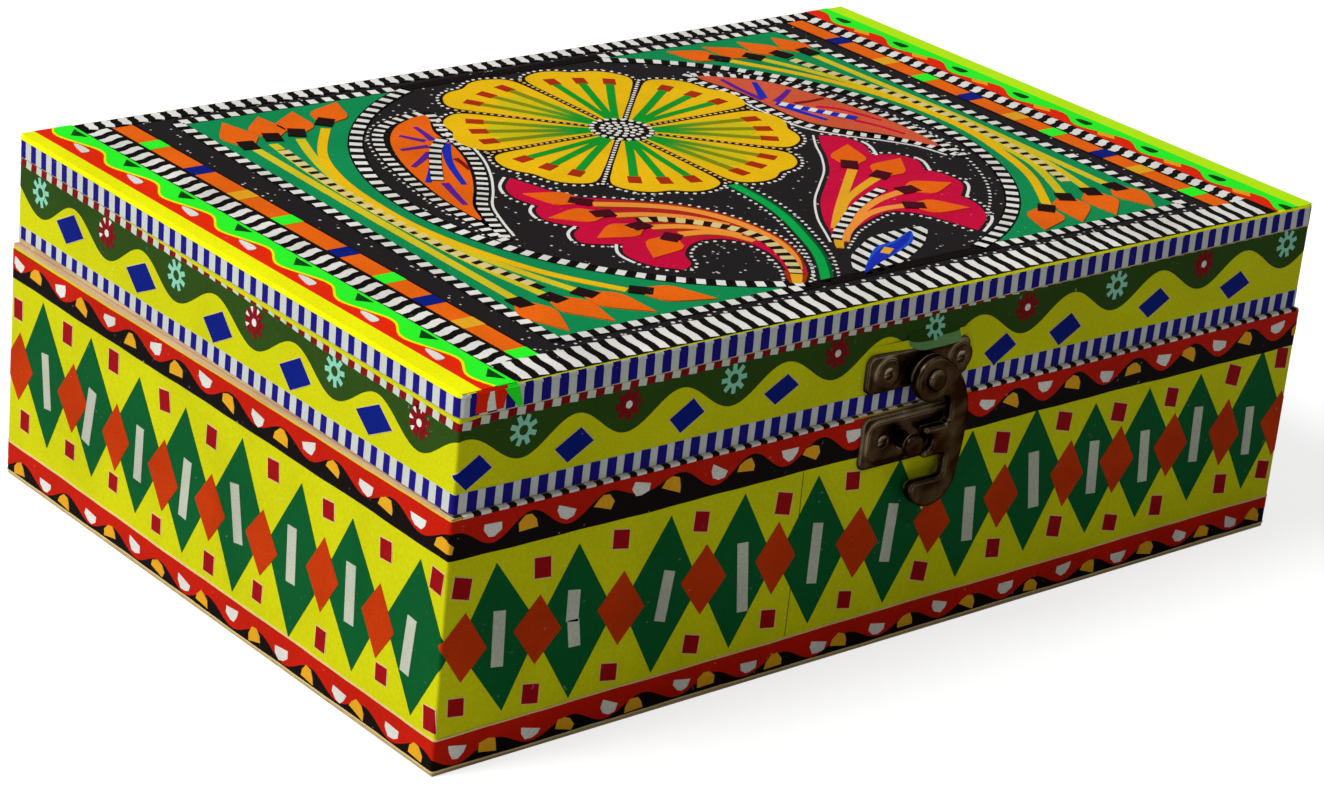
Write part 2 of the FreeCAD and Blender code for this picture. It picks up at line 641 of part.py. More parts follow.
def headed_stud(label, radius, head_radius, neck, head_height, edge_round, x, y, z):
    """Round stud that stands out to the front, with a head whose edge is eased."""
    body = new_body("Stud")
    neck_outline = sketch_on(body, "XZ_Plane")
    circle(neck_outline, "0", "0", radius)
    pad(body, neck_outline, neck)
    head_outline = sketch_on(body, "XZ_Plane")
    circle(head_outline, "0", "0", head_radius)
    head_outline.setExpression("AttachmentOffset.Base.z", neck)
    head = pad(body, head_outline, head_height)
    round_face(body, head, OUT, edge_round)
    return keep(place(body, x, y, z), label)


headed_stud("keeper_stud", "Sizes.stud_radius", "Sizes.stud_head_radius",
            f"({KEEPER_Y} - {HOOK_FRONT_Y} + Sizes.stud_head_gap)", "Sizes.stud_head_height",
            "Sizes.stud_head_height / 2", STUD_X, KEEPER_Y, STUD_Z)
headed_stud("latch_rivet", "Sizes.rivet_radius", "Sizes.rivet_head_radius",
            f"({LATCH_Y} - {HOOK_FRONT_Y} + Sizes.boss_gap)", "Sizes.rivet_head_height",
            "Sizes.rivet_head_height * 3 / 4", "Sizes.pivot_x", LATCH_Y, PIVOT_Z)

# Hook
# A round eye on the rivet, an arm down its right side, a notched tooth for the stud and a curled tail.
NOTCH_RADIUS = "(Sizes.stud_radius + Sizes.notch_clearance)"
HORN = f"(Sizes.tooth_height / 2 - {NOTCH_RADIUS})"
ARM_INNER = "(Sizes.arm_reach - Sizes.arm_width)"
TOOTH_TOP = f"({NOTCH_Z} + Sizes.tooth_height / 2)"
TOOTH_FOOT = f"({NOTCH_Z} - Sizes.tooth_height / 2)"
TAIL_TOP = "(Sizes.tail_height - Sizes.hook_drop)"
TAIL_SIDE = "(Sizes.arm_reach - Sizes.tail_waist)"
TAIL_LOWEST = f"({TAIL_SIDE} - Sizes.tail_radius)"
TAIL_RISE = "(Sizes.tail_radius - Sizes.hook_drop)"
TAIL_TIP = f"({TAIL_TOP} - Sizes.tail_bend)"


def on_eye(degrees):
    """Point on the eye's rim."""
    return f"Sizes.eye_radius * cos({degrees})", f"Sizes.eye_radius * sin({degrees})"


def tangent_radius(along, sideways):
    """Radius of an arc that leaves a point straight and ends at an offset from it."""
    return f"((({along})^2 + ({sideways})^2) / (2 * ({sideways})))"


EYE_TOP = on_eye("Sizes.eye_crown_angle")
EYE_BACK = on_eye("(Sizes.eye_crown_angle + Sizes.eye_foot_angle) / 2")
EYE_FOOT = on_eye("Sizes.eye_foot_angle")
hook = new_body("Hook")
hook_outline = sketch_on(hook, "XZ_Plane")
outline(hook_outline, [
    (*EYE_TOP, "Sizes.eye_radius"),
    (*EYE_BACK, "Sizes.eye_radius"),
    (*EYE_FOOT, f"-{tangent_radius('Sizes.arm_bend', f'{ARM_INNER} - {EYE_FOOT[0]}')}"),
    (ARM_INNER, f"{EYE_FOOT[1]} - Sizes.arm_bend", None),
    (ARM_INNER, f"{TOOTH_TOP} + Sizes.tooth_shoulder", None),
    (f"{ARM_INNER} - Sizes.tooth_shoulder", TOOTH_TOP, None),
    (NOTCH_X, TOOTH_TOP, f"{HORN} / 2"),
    (f"{NOTCH_X} - {HORN} / 2", f"{TOOTH_TOP} - {HORN} / 2", f"{HORN} / 2"),
    (NOTCH_X, f"{NOTCH_Z} + {NOTCH_RADIUS}", f"-{NOTCH_RADIUS}"),
    (f"{NOTCH_X} + {NOTCH_RADIUS}", NOTCH_Z, f"-{NOTCH_RADIUS}"),
    (NOTCH_X, f"{NOTCH_Z} - {NOTCH_RADIUS}", f"{HORN} / 2"),
    (f"{NOTCH_X} - {HORN} / 2", f"{TOOTH_FOOT} + {HORN} / 2", f"{HORN} / 2"),
    (NOTCH_X, TOOTH_FOOT, None),
    (f"{ARM_INNER} - Sizes.tooth_shoulder", TOOTH_FOOT, None),
    (ARM_INNER, f"{TOOTH_FOOT} - Sizes.tooth_shoulder", None),
    (ARM_INNER, f"{TAIL_TOP} + Sizes.tail_bend", "-Sizes.tail_bend"),
    (f"{ARM_INNER} - Sizes.tail_bend", TAIL_TOP, None),
    ("Sizes.tail_bend - Sizes.tail_reach", TAIL_TOP, "Sizes.tail_bend"),
    ("-Sizes.tail_reach", TAIL_TIP,
     tangent_radius(f"{TAIL_LOWEST} + Sizes.tail_reach", f"{TAIL_TIP} + Sizes.hook_drop")),
    (TAIL_LOWEST, "-Sizes.hook_drop", "Sizes.tail_radius"),
    (TAIL_SIDE, TAIL_RISE, tangent_radius(f"{TAIL_RISE} + Sizes.arm_crown_drop", "Sizes.tail_waist")),
    ("Sizes.arm_reach", "-Sizes.arm_crown_drop",
     tangent_radius(f"{EYE_TOP[1]} + Sizes.arm_crown_drop", f"Sizes.arm_reach - {EYE_TOP[0]}")),
])
hook_pad = pad(hook, hook_outline, "Sizes.hook_thickness")
round_face(hook, hook_pad, OUT, "Sizes.hook_edge_round")
eye_hole = sketch_on(hook, "XZ_Plane")
circle(eye_hole, "0", "0", "(Sizes.rivet_radius + Sizes.rivet_clearance)")
pocket_through(hook, eye_hole)
keep(place(hook, "Sizes.pivot_x", HOOK_BACK_Y, PIVOT_Z), "latch_hook")

doc.recompute()
for piece in doc.Objects:
    if "Invalid" in piece.State or "Error" in piece.State:
        raise RuntimeError(f"{piece.Label} failed: {piece.State}")
for piece in sub_parts:
    if piece.Shape.isNull() or not piece.Shape.isValid() or not piece.Shape.Solids:
        raise RuntimeError(f"{piece.Label} has no valid solid")

os.makedirs("parts", exist_ok=True)
for piece in sub_parts:
    piece.Shape.exportStep(f"parts/{piece.Label}.step")
    print(f"{piece.Label}: {len(piece.Shape.Solids)} solids, {piece.Shape.Volume:.1f} mm3")
print(f"hinge axis y {value(HINGE_Y):.4f} z {value(SEAM):.4f}")
print(f"hook pivot x {value('Sizes.pivot_x'):.4f} y {value(HOOK_BACK_Y):.4f} z {value(PIVOT_Z):.4f}")
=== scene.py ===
"""Dresses the storage box: bare wood, cut-film ornament, striped tape and an aged bronze latch."""
import math
import random

import bpy
from bpy.props import FloatProperty, FloatVectorProperty, PointerProperty
from mathutils import Matrix, Vector


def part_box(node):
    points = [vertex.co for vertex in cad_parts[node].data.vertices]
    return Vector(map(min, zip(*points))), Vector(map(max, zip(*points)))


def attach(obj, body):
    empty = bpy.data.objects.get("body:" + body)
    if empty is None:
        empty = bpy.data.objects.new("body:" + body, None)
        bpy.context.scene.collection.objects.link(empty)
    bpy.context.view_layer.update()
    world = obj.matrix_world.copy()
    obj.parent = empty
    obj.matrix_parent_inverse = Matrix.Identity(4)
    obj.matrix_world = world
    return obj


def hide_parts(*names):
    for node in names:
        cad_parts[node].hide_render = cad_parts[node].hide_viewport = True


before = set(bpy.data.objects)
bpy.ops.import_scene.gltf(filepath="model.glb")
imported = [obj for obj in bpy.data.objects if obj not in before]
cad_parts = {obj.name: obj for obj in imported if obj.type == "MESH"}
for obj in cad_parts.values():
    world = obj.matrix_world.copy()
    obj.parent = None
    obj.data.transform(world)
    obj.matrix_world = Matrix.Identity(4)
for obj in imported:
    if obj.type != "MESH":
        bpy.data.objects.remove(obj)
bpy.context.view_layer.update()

bl_info = {
    "name": "Film-Dressed Storage Box",
    "version": (1, 0, 0),
    "blender": (4, 5, 0),
    "location": "View3D > Sidebar > Storage Box",
    "description": "Lays cut film, tape, wood and bronze finishes on a hinged storage box",
    "category": "Object",
}

MM = 0.001


def linear(channel):
    """Linear light of one channel that is written from 0 to 255."""
    part = channel / 255
    return part / 12.92 if part <= 0.04045 else ((part + 0.055) / 1.055) ** 2.4


def colour(name, description, red, green, blue):
    """Colour property, written as it looks on a screen."""
    return FloatVectorProperty(name=name, description=description, subtype="COLOR", min=0, max=1,
                               default=(linear(red), linear(green), linear(blue)))


def length(name, description, millimetres):
    """Length property, written in millimetres."""
    return FloatProperty(name=name, description=description, unit="LENGTH", subtype="DISTANCE", min=0,
                         default=millimetres * MM, precision=5)


class FilmColours(bpy.types.PropertyGroup):
    """Colours of the cut films, the wood and the metal."""

    yellow: colour("Yellow", "Ground film of the walls and the lid", 216, 216, 6)
    green: colour("Green", "Tall diamonds and the stem", 0, 92, 42)
    field: colour("Field Green", "Field on the top", 8, 144, 82)
    vermilion: colour("Vermilion", "Short diamonds", 208, 60, 4)
    crimson: colour("Crimson", "Small rectangles", 164, 6, 18)
    rose: colour("Rose", "Flame leaves", 212, 4, 62)
    red: colour("Red", "Scalloped borders", 204, 26, 2)
    scarlet: colour("Scarlet", "Wavy side bands of the top", 238, 40, 0)
    black: colour("Black", "Border humps and stripes", 16, 8, 6)
    amber: colour("Amber", "Small chips and stalks", 238, 172, 32)
    white: colour("White", "Chips, stripes and dashes", 244, 242, 234)
    pearl: colour("Pearl", "Bars on the walls", 206, 210, 192)
    cream: colour("Cream", "Cut edge of a film", 226, 206, 138)
    blue: colour("Blue", "Lozenges and squares", 4, 28, 134)
    azure: colour("Azure", "Edge of the eye in the small leaf", 30, 84, 204)
    cobalt: colour("Cobalt", "Broad leaf veins and the eye", 26, 44, 184)
    navy: colour("Navy", "Blue bars of the striped tape", 26, 20, 132)
    silver: colour("Silver", "Pale ground of the striped tape", 208, 212, 204)
    olive: colour("Olive", "Scroll round the lid", 46, 78, 18)
    # The lighter olive below is the scroll's olive made paler: a painted highlight where the loose film at the
    # latch tilts up to the light.
    lit_olive: colour("Loose Olive", "Film that stands off at the latch", 112, 162, 98)
    mint: colour("Mint", "Small flowers and dashes", 138, 214, 186)
    pale_mint: colour("Pale Mint", "Dashes under the board", 204, 216, 196)
    maroon: colour("Maroon", "Small flowers and dash strip", 134, 14, 20)
    neon: colour("Neon Green", "Wavy side bands of the top", 44, 250, 40)
    leaf: colour("Leaf Green", "Stamens", 10, 156, 42)
    stem: colour("Stem Green", "Lit side of the stem", 0, 172, 74)
    dark_green: colour("Dark Green", "Small cut corners in the side bands", 4, 72, 8)
    orange: colour("Orange", "Rails, tulip heads and leaves", 246, 106, 8)
    coral: colour("Coral", "Far veined leaf", 224, 94, 58)
    gold: colour("Gold", "Flower petals", 246, 194, 6)
    yolk: colour("Yolk", "Pale heart of a petal", 214, 196, 14)
    moss: colour("Moss", "Faded ends of the stamens", 136, 142, 12)
    peach: colour("Peach", "Stalks of the flame leaves", 248, 152, 56)
    rust: colour("Rust", "Ground under the stalks and tips of the stamens", 178, 46, 8)
    wine: colour("Wine", "Collars of the flame leaves", 74, 6, 22)
    honey: colour("Honey", "Beads on the seams of the flower", 228, 190, 96)
    lime: colour("Lime", "Right edge of the top", 190, 244, 14)
    lemon: colour("Lemon", "Edging of the top", 250, 250, 4)
    straw: colour("Straw", "Stems of the corner sprays", 224, 202, 34)
    violet: colour("Violet", "Slim leaf veins", 96, 30, 150)
    umber: colour("Umber", "Collars and dark seams", 30, 10, 8)
    glitter_black: colour("Glitter Black", "Ground film of the top", 24, 20, 22)
    wood_light: colour("Light Wood", "Pale grain of the bare boards", 216, 187, 146)
    wood_dark: colour("Dark Wood", "Dark grain of the bare boards", 188, 149, 108)
    bronze: colour("Bronze", "Aged face of the latch and hinges", 40, 23, 13)
    # The pale bronze below goes on edges that face up and to the left: rubbed wear and painted highlight in one.
    # It is also mixed faintly into the patina.
    bronze_worn_and_lit: colour("Worn Bronze", "Rubbed edges of the latch and hinges", 250, 212, 158)
    steel: colour("Steel", "Panel pins", 160, 160, 164)
    floor: colour("Floor", "Pale floor", 196, 196, 196)


class OrnamentSizes(bpy.types.PropertyGroup):
    """Sizes of the film layers and of the repeated ornament."""

    layer: length("Layer", "Rise of one film over the film below it", 0.07)
    corner_round: length("Corner Round", "Bend of the film round the corners", 0.5)
    diamond_half: length("Diamond Half Width", "Half width of a tall diamond", 12.7)
    lozenge_width: length("Lozenge Width", "Width of a short diamond", 14.6)
    lozenge_height: length("Lozenge Height", "Height of a short diamond", 20.0)
    bar_width: length("Bar Width", "Width of a white bar", 3.8)
    chip_width: length("Rectangle Width", "Width of a small rectangle", 5.0)
    chip_height: length("Rectangle Height", "Height of a small rectangle", 6.8)
    edge_margin: length("Cut Edge", "Pale edge that shows round a cut piece", 0.28)
    scallop_pitch: length("Scallop Pitch", "Length of one wave of the borders", 23.63)
    scallop_rise: length("Scallop Rise", "Half height of a wave of the borders", 2.1)
    scroll_rise: length("Scroll Rise", "Half height of the wave round the lid", 4.2)
    stripe_pitch: length("Stripe Pitch", "Length of one blue and white stripe", 5.35)
    dash_pitch: length("Dash Pitch", "Length of one dash on the top", 5.4)
    bead_pitch: length("Bead Pitch", "Distance between the beads of an outline", 2.5)
    bead_radius: length("Bead Radius", "Radius of one bead", 0.55)


class StorageBoxSettings(bpy.types.PropertyGroup):
    """All settings of the storage box."""

    colours: PointerProperty(type=FilmColours)
    sizes: PointerProperty(type=OrnamentSizes)


def size(name):
    """A named size in millimetres."""
    return getattr(bpy.context.scene.storage_box.sizes, name) / MM


def tint(name):
    """A named colour with full cover."""
    return (*getattr(bpy.context.scene.storage_box.colours, name), 1.0)


# Node helpers


def add_node(tree, kind, inputs=None, **settings):
    """Node with its settings made and its inputs set or linked."""
    node = tree.nodes.new(kind)
    for key, setting in settings.items():
        setattr(node, key, setting)
    for key, content in (inputs or {}).items():
        if isinstance(content, bpy.types.NodeSocket):
            tree.links.new(content, node.inputs[key])
        else:
            node.inputs[key].default_value = content
    return node


def math_node(tree, operation, first, second=0.0):
    """Result of one sum."""
    return add_node(tree, "ShaderNodeMath", {0: first, 1: second}, operation=operation).outputs[0]


def spread(tree, source, low, high, to_low, to_high):
    """Value taken from one range to another."""
    return add_node(tree, "ShaderNodeMapRange", {"Value": source, "From Min": low, "From Max": high,
                                                 "To Min": to_low, "To Max": to_high}).outputs["Result"]


def blend_colour(tree, factor, first, second, blend="MIX"):
    """Two colours mixed by a factor."""
    node = add_node(tree, "ShaderNodeMix", {"Factor": factor}, data_type="RGBA", blend_type=blend)
    for socket, content in ((node.inputs[6], first), (node.inputs[7], second)):
        if isinstance(content, bpy.types.NodeSocket):
            tree.links.new(content, socket)
        else:
            socket.default_value = content
    return node.outputs[2]


def noise(tree, where, scale, detail=2.0, distortion=0.0):
    """Soft noise over the surface."""
    return add_node(tree, "ShaderNodeTexNoise", {"Vector": where, "Scale": scale, "Detail": detail,
                                                 "Distortion": distortion}).outputs["Fac"]


SOCKETS = {"colour": "NodeSocketColor", "value": "NodeSocketFloat", "vector": "NodeSocketVector"}
SURFACE = {"Color": "colour", "Roughness": "value", "Height": "value"}


def shared_group(name, inputs, outputs):
    """Turn a function that fills a shader node group into one that makes the group once and then finds it."""
    def shared(fill):
        def group():
            if name not in bpy.data.node_groups:
                tree = bpy.data.node_groups.new(name, "ShaderNodeTree")
                for direction, sockets in (("INPUT", inputs), ("OUTPUT", outputs)):
                    for label, kind in sockets.items():
                        tree.interface.new_socket(label, in_out=direction, socket_type=SOCKETS[kind])
                result = tree.nodes.new("NodeGroupOutput").inputs
                for label, socket in fill(tree, tree.nodes.new("NodeGroupInput").outputs).items():
                    tree.links.new(socket, result[label])
            return bpy.data.node_groups[name]
        return group
    return shared


def surface_place(tree):
    """Place on the surface, in the piece's own space."""
    return add_node(tree, "ShaderNodeTexCoord").outputs["Object"]


def vector_sum(tree, operation, first, second, output):
    """Result of one sum with vectors."""
    return add_node(tree, "ShaderNodeVectorMath", {0: first, 1: second}, operation=operation).outputs[output]


@shared_group("film_surface", {"Color": "colour", "Mottle": "value", "Scuffs": "value", "Grain": "value",
                               "Gloss": "value"}, SURFACE)
def film_surface(tree, given):
    """Adhesive film: mottled colour, fine scuffs, uneven gloss and faint creases."""
    where = surface_place(tree)
    broad = noise(tree, where, 38, 4, 0.4)
    grain = noise(tree, where, given["Grain"], 3)
    creases = noise(tree, where, 120, 3, 1.2)
    fine = noise(tree, where, 700, 4)

    def mottled_by(source, high):
        """Light that one noise leaves."""
        spots = math_node(tree, "MULTIPLY", spread(tree, source, 0.35, high, 0, 1), given["Mottle"])
        return math_node(tree, "SUBTRACT", 1.0, spots)

    shade = math_node(tree, "MULTIPLY", mottled_by(broad, 0.7), mottled_by(grain, 0.75))
    mottled = blend_colour(tree, 1.0, given["Color"], shade, "MULTIPLY")
    rubbed = math_node(tree, "MULTIPLY", spread(tree, fine, 0.66, 0.74, 0, 1),
                       spread(tree, creases, 0.55, 0.66, 0, 1))
    scuffed = math_node(tree, "MULTIPLY", rubbed, given["Scuffs"])
    uneven = math_node(tree, "MULTIPLY", math_node(tree, "ADD", grain, broad), 0.16)
    return {"Color": blend_colour(tree, scuffed, mottled, tint("white")),
            "Roughness": math_node(tree, "ADD", given["Gloss"], uneven),
            "Height": math_node(tree, "ADD", math_node(tree, "MULTIPLY", grain, 0.35),
                                math_node(tree, "MULTIPLY", creases, 0.65))}


@shared_group("fade_out", {"Near": "colour", "Far": "colour", "Centre": "vector", "First": "value",
                           "Last": "value"}, {"Color": "colour"})
def fade_out(tree, given):
    """Print that fades from one colour to another with the distance from a point."""
    away = vector_sum(tree, "DISTANCE", surface_place(tree), given["Centre"], "Value")
    share = spread(tree, away, given["First"], given["Last"], 0, 1)
    return {"Color": blend_colour(tree, share, given["Near"], given["Far"])}


@shared_group("glitter_flakes", {"Color": "colour", "Flake Color": "colour", "Flake Scale": "value",
                                 "Cover": "value"}, SURFACE)
def glitter_flakes(tree, given):
    """Dark film with fine bright flakes."""
    where = surface_place(tree)
    cells = add_node(tree, "ShaderNodeTexVoronoi", {"Vector": where, "Scale": given["Flake Scale"]})
    pick = add_node(tree, "ShaderNodeSeparateColor", {"Color": cells.outputs["Color"]}).outputs["Red"]
    near = spread(tree, cells.outputs["Distance"], 0.25, 0.45, 1, 0)
    chosen = math_node(tree, "GREATER_THAN", pick, math_node(tree, "SUBTRACT", 1.0, given["Cover"]))
    flake = math_node(tree, "MULTIPLY", near, chosen)
    haze = noise(tree, where, 60, 4, 0.6)
    ground = blend_colour(tree, spread(tree, haze, 0.35, 0.75, 0, 0.35), given["Color"], tint("umber"))
    return {"Color": blend_colour(tree, flake, ground, given["Flake Color"]),
            "Roughness": spread(tree, flake, 0, 1, 0.46, 0.2),
            "Height": math_node(tree, "ADD", haze, math_node(tree, "MULTIPLY", flake, 0.4))}


@shared_group("wood_grain", {"Light": "colour", "Dark": "colour", "Stretch": "vector"}, SURFACE)
def wood_grain(tree, given):
    """Bare softwood: long streaks, fine pores and slight stains."""
    where = surface_place(tree)
    drawn = vector_sum(tree, "MULTIPLY", where, given["Stretch"], "Vector")
    streaks = noise(tree, drawn, 1.0, 5, 1.6)
    pores = noise(tree, drawn, 5.0, 3)
    stain = noise(tree, where, 24, 3)
    ringed = add_node(tree, "ShaderNodeTexWave", {"Vector": drawn, "Scale": 0.5, "Distortion": 5.0,
                                                  "Detail": 3.0}, bands_direction="DIAGONAL").outputs["Fac"]
    dark = math_node(tree, "ADD", math_node(tree, "MULTIPLY", spread(tree, streaks, 0.35, 0.7, 0, 1), 0.55),
                     math_node(tree, "MULTIPLY", ringed, 0.3))
    grained = blend_colour(tree, dark, given["Light"], given["Dark"])
    dull = spread(tree, stain, 0.45, 0.75, 1.0, 0.78)
    pored = math_node(tree, "MULTIPLY", dull, spread(tree, pores, 0.58, 0.72, 1.0, 0.72))
    return {"Color": blend_colour(tree, 1.0, grained, pored, "MULTIPLY"),
            "Roughness": spread(tree, streaks, 0.3, 0.7, 0.62, 0.8),
            "Height": math_node(tree, "ADD", streaks, math_node(tree, "MULTIPLY", pores, 0.5))}


# Direction up and to the left: edges that face it are painted bright, as wear from the hand on the latch and as
# a painted highlight from the lamps
LIT_AND_HANDLED_FROM = (-0.45, -0.1, 0.88)


@shared_group("worn_and_lit_metal", {"Patina": "colour", "Bright": "colour", "Rub": "value", "Edge": "value"},
              {**SURFACE, "Polish": "value", "Metal": "value", "Normal": "vector"})
def worn_and_lit_metal(tree, given):
    """Aged metal: blotched patina, with the edges that face up and to the left made bright as rubbed wear and
    painted highlight.
    """
    where = surface_place(tree)
    blotch = noise(tree, where, 150, 3, 0.4)
    pits = noise(tree, where, 1500, 3)
    face = add_node(tree, "ShaderNodeNewGeometry").outputs["Normal"]
    rounded = add_node(tree, "ShaderNodeBevel", {"Radius": given["Edge"]}, samples=8).outputs["Normal"]
    edge = spread(tree, vector_sum(tree, "DOT_PRODUCT", face, rounded, "Value"), 0.98, 0.84, 0, 1)
    facing_light_and_hand = vector_sum(tree, "DOT_PRODUCT", rounded, LIT_AND_HANDLED_FROM, "Value")
    # Edges facing the lamps and the hand: their bright colour below is painted highlight as well as rubbed wear.
    upper = math_node(tree, "MULTIPLY", edge, spread(tree, facing_light_and_hand, 0.1, 0.5, 0, 1))
    rubbed = math_node(tree, "MULTIPLY", math_node(tree, "MULTIPLY", upper, given["Rub"]),
                       spread(tree, blotch, 0.3, 0.62, 0.6, 1))
    aged = blend_colour(tree, spread(tree, blotch, 0.4, 0.85, 0, 0.1), given["Patina"], given["Bright"])
    dark = blend_colour(tree, spread(tree, pits, 0.55, 0.7, 0, 0.5), aged, tint("umber"))
    return {"Color": blend_colour(tree, rubbed, dark, given["Bright"]),
            "Roughness": math_node(tree, "SUBTRACT", spread(tree, blotch, 0.3, 0.7, 0.16, 0.32),
                                   math_node(tree, "MULTIPLY", rubbed, 0.14)),
            "Height": math_node(tree, "ADD", blotch, math_node(tree, "MULTIPLY", pits, 0.5)),
            "Polish": rubbed, "Metal": spread(tree, rubbed, 0, 0.8, 1.0, 0.05), "Normal": rounded}


# Outputs of the groups and the sockets of the shader that they feed
FED = {"Color": "Base Color", "Roughness": "Roughness", "Polish": "Coat Weight", "Metal": "Metallic"}


def finish(name, group, values, bump, bump_depth, **constants):
    """Material whose surface comes from one shared group; the first of its values is its plain colour."""
    if name in bpy.data.materials:
        return bpy.data.materials[name]
    material = bpy.data.materials.new(name)
    material.use_nodes = True
    tree = material.node_tree
    shader = tree.nodes["Principled BSDF"]
    surface = add_node(tree, "ShaderNodeGroup", values, node_tree=group)
    raised = add_node(tree, "ShaderNodeBump", {"Height": surface.outputs["Height"], "Strength": bump,
                                               "Distance": bump_depth * MM})
    if "Normal" in surface.outputs:
        tree.links.new(surface.outputs["Normal"], raised.inputs["Normal"])
    tree.links.new(raised.outputs["Normal"], shader.inputs["Normal"])
    for label, socket in FED.items():
        if label in surface.outputs:
            tree.links.new(surface.outputs[label], shader.inputs[socket])
    for key, content in constants.items():
        shader.inputs[key.replace("_", " ")].default_value = content
    material.diffuse_color = next(iter(values.values()))
    return material


def satin(name, tone, mottle, scuffs):
    """Satin adhesive film."""
    values = {"Color": tint(tone), "Mottle": mottle, "Scuffs": scuffs, "Grain": 1300.0, "Gloss": 0.26}
    return finish(name, film_surface(), values, 0.18, 0.2, Specular_IOR_Level=0.03)


# Mottle of the films that differ from the rest, and the tones that come as matt card and as shiny film
MOTTLE = {"black": 0.1, "red": 0.16, "green": 0.14, "crimson": 0.16, "olive": 0.16, "blue": 0.2,
          "silver": 0.1, "navy": 0.14, "neon": 0.05, "lime": 0.05, "orange": 0.16, "straw": 0.16,
          "gold": 0.14, "rust": 0.2, "coral": 0.2, "rose": 0.16, "wine": 0.2}
PLAIN_MOTTLE = 0.12
CARDS, SHINY = ("white", "vermilion", "pearl"), ("mint", "pale_mint")


def film(tone):
    """Film of a named colour: matt card, shiny film or satin, of which the black is scuffed most."""
    if tone in CARDS:
        return card(tone)
    if tone in SHINY:
        return bead_film(tone)
    return satin(f"film_{tone}", tone, MOTTLE.get(tone, PLAIN_MOTTLE), 0.5 if tone == "black" else 0.25)


def faded_film(near, far, centre, first, last):
    """Film whose print fades from one colour to another between two distances from a point."""
    material = satin(f"film_{near}_to_{far}", near, 0.14, 0.25)
    tree = material.node_tree
    surface = next(node for node in tree.nodes if node.type == "GROUP")
    fade = add_node(tree, "ShaderNodeGroup", {"Near": tint(near), "Far": tint(far), "Centre": centre * MM,
                                              "First": first * MM, "Last": last * MM}, node_tree=fade_out())
    tree.links.new(fade.outputs["Color"], surface.inputs["Color"])
    return material


def card(tone):
    """Matt film with a coarse paper grain."""
    values = {"Color": tint(tone), "Mottle": 0.24, "Scuffs": 0.4, "Grain": 2100.0, "Gloss": 0.42}
    return finish(f"card_{tone}", film_surface(), values, 0.35, 0.25, Specular_IOR_Level=0.03)


def bead_film(tone):
    """Shiny metallic film of the beads and dashes."""
    values = {"Color": tint(tone), "Mottle": 0.1, "Scuffs": 0.1, "Grain": 1800.0, "Gloss": 0.1}
    return finish(f"bead_{tone}", film_surface(), values, 0.1, 0.1, Specular_IOR_Level=0.25)


def glitter():
    """Black glitter film."""
    values = {"Color": tint("glitter_black"), "Flake Color": tint("silver"), "Flake Scale": 900.0,
              "Cover": 0.05}
    return finish("film_glitter_black", glitter_flakes(), values, 0.2, 0.2, Specular_IOR_Level=0.1)


def bare_wood(name, stretch):
    """Bare boards whose grain runs along one axis."""
    values = {"Light": tint("wood_light"), "Dark": tint("wood_dark"), "Stretch": stretch}
    return finish(f"wood_{name}", wood_grain(), values, 0.3, 0.3, Specular_IOR_Level=0.2)


def metal(name, patina, bright, rub):
    """Aged metal with rubbed edges that are also painted bright as highlights."""
    values = {"Patina": tint(patina), "Bright": tint(bright), "Rub": rub, "Edge": 1.7 * MM}
    return finish(f"metal_{name}", worn_and_lit_metal(), values, 0.12, 0.15, Specular_Tint=(0.5, 0.4, 0.3, 1.0),
                  Coat_Roughness=0.14, Coat_IOR=1.7)


# Outlines, in the plane of one surface


def box_outline(x, y, width, height, degrees=0.0):
    """Rectangle about a point, turned to the left."""
    turn = Matrix.Rotation(math.radians(degrees), 2)
    corners = ((-1, -1), (1, -1), (1, 1), (-1, 1))
    turned = [turn @ Vector((a * width / 2, b * height / 2)) for a, b in corners]
    return [(x + corner.x, y + corner.y) for corner in turned]


def lozenge(x, y, width, height, lean=0.0, shift=0.0):
    """Diamond about a point, its side points moved by a lean and its upper and lower points by a shift."""
    return [(x - shift, y - height / 2), (x + width / 2, y + lean), (x + shift, y + height / 2),
            (x - width / 2, y - lean)]


def disc(x, y, radius, sides=14):
    """Round piece."""
    angles = [2 * math.pi * side / sides for side in range(sides)]
    return [(x + radius * math.cos(angle), y + radius * math.sin(angle)) for angle in angles]


def spline(points, steps=6, closed=False):
    """Smooth curve through some points."""
    count = len(points)
    curve = []
    for index in range(count if closed else count - 1):
        if closed:
            near = [points[(index + shift) % count] for shift in (-1, 0, 1, 2)]
        else:
            near = [points[min(max(index + shift, 0), count - 1)] for shift in (-1, 0, 1, 2)]
        a, b, c, d = [Vector(point) for point in near]
        for step in range(steps):
            t = step / steps
            spot = 0.5 * (2 * b + (c - a) * t + (2 * a - 5 * b + 4 * c - d) * t ** 2
                          + (3 * b - a - 3 * c + d) * t ** 3)
            curve.append((spot.x, spot.y))
    if not closed:
        curve.append(tuple(points[-1]))
    return curve


def sideways(path, index):
    """Unit vector square to a path at one of its points."""
    before, after = Vector(path[max(index - 1, 0)]), Vector(path[min(index + 1, len(path) - 1)])
    run = (after - before).normalized()
    return Vector((-run.y, run.x))


def ribbon(path, first_width, last_width=None):
    """Strip along a path, which may taper."""
    last_width = first_width if last_width is None else last_width
    left, right = [], []
    for index, point in enumerate(path):
        half = (first_width + (last_width - first_width) * index / (len(path) - 1)) / 2
        step = sideways(path, index) * half
        left.append((point[0] + step.x, point[1] + step.y))
        right.append((point[0] - step.x, point[1] - step.y))
    return left + right[::-1]


def beside(path, distance):
    """Path moved sideways by a distance."""
    moved = []
    for index, point in enumerate(path):
        step = sideways(path, index) * distance
        moved.append((point[0] + step.x, point[1] + step.y))
    return moved


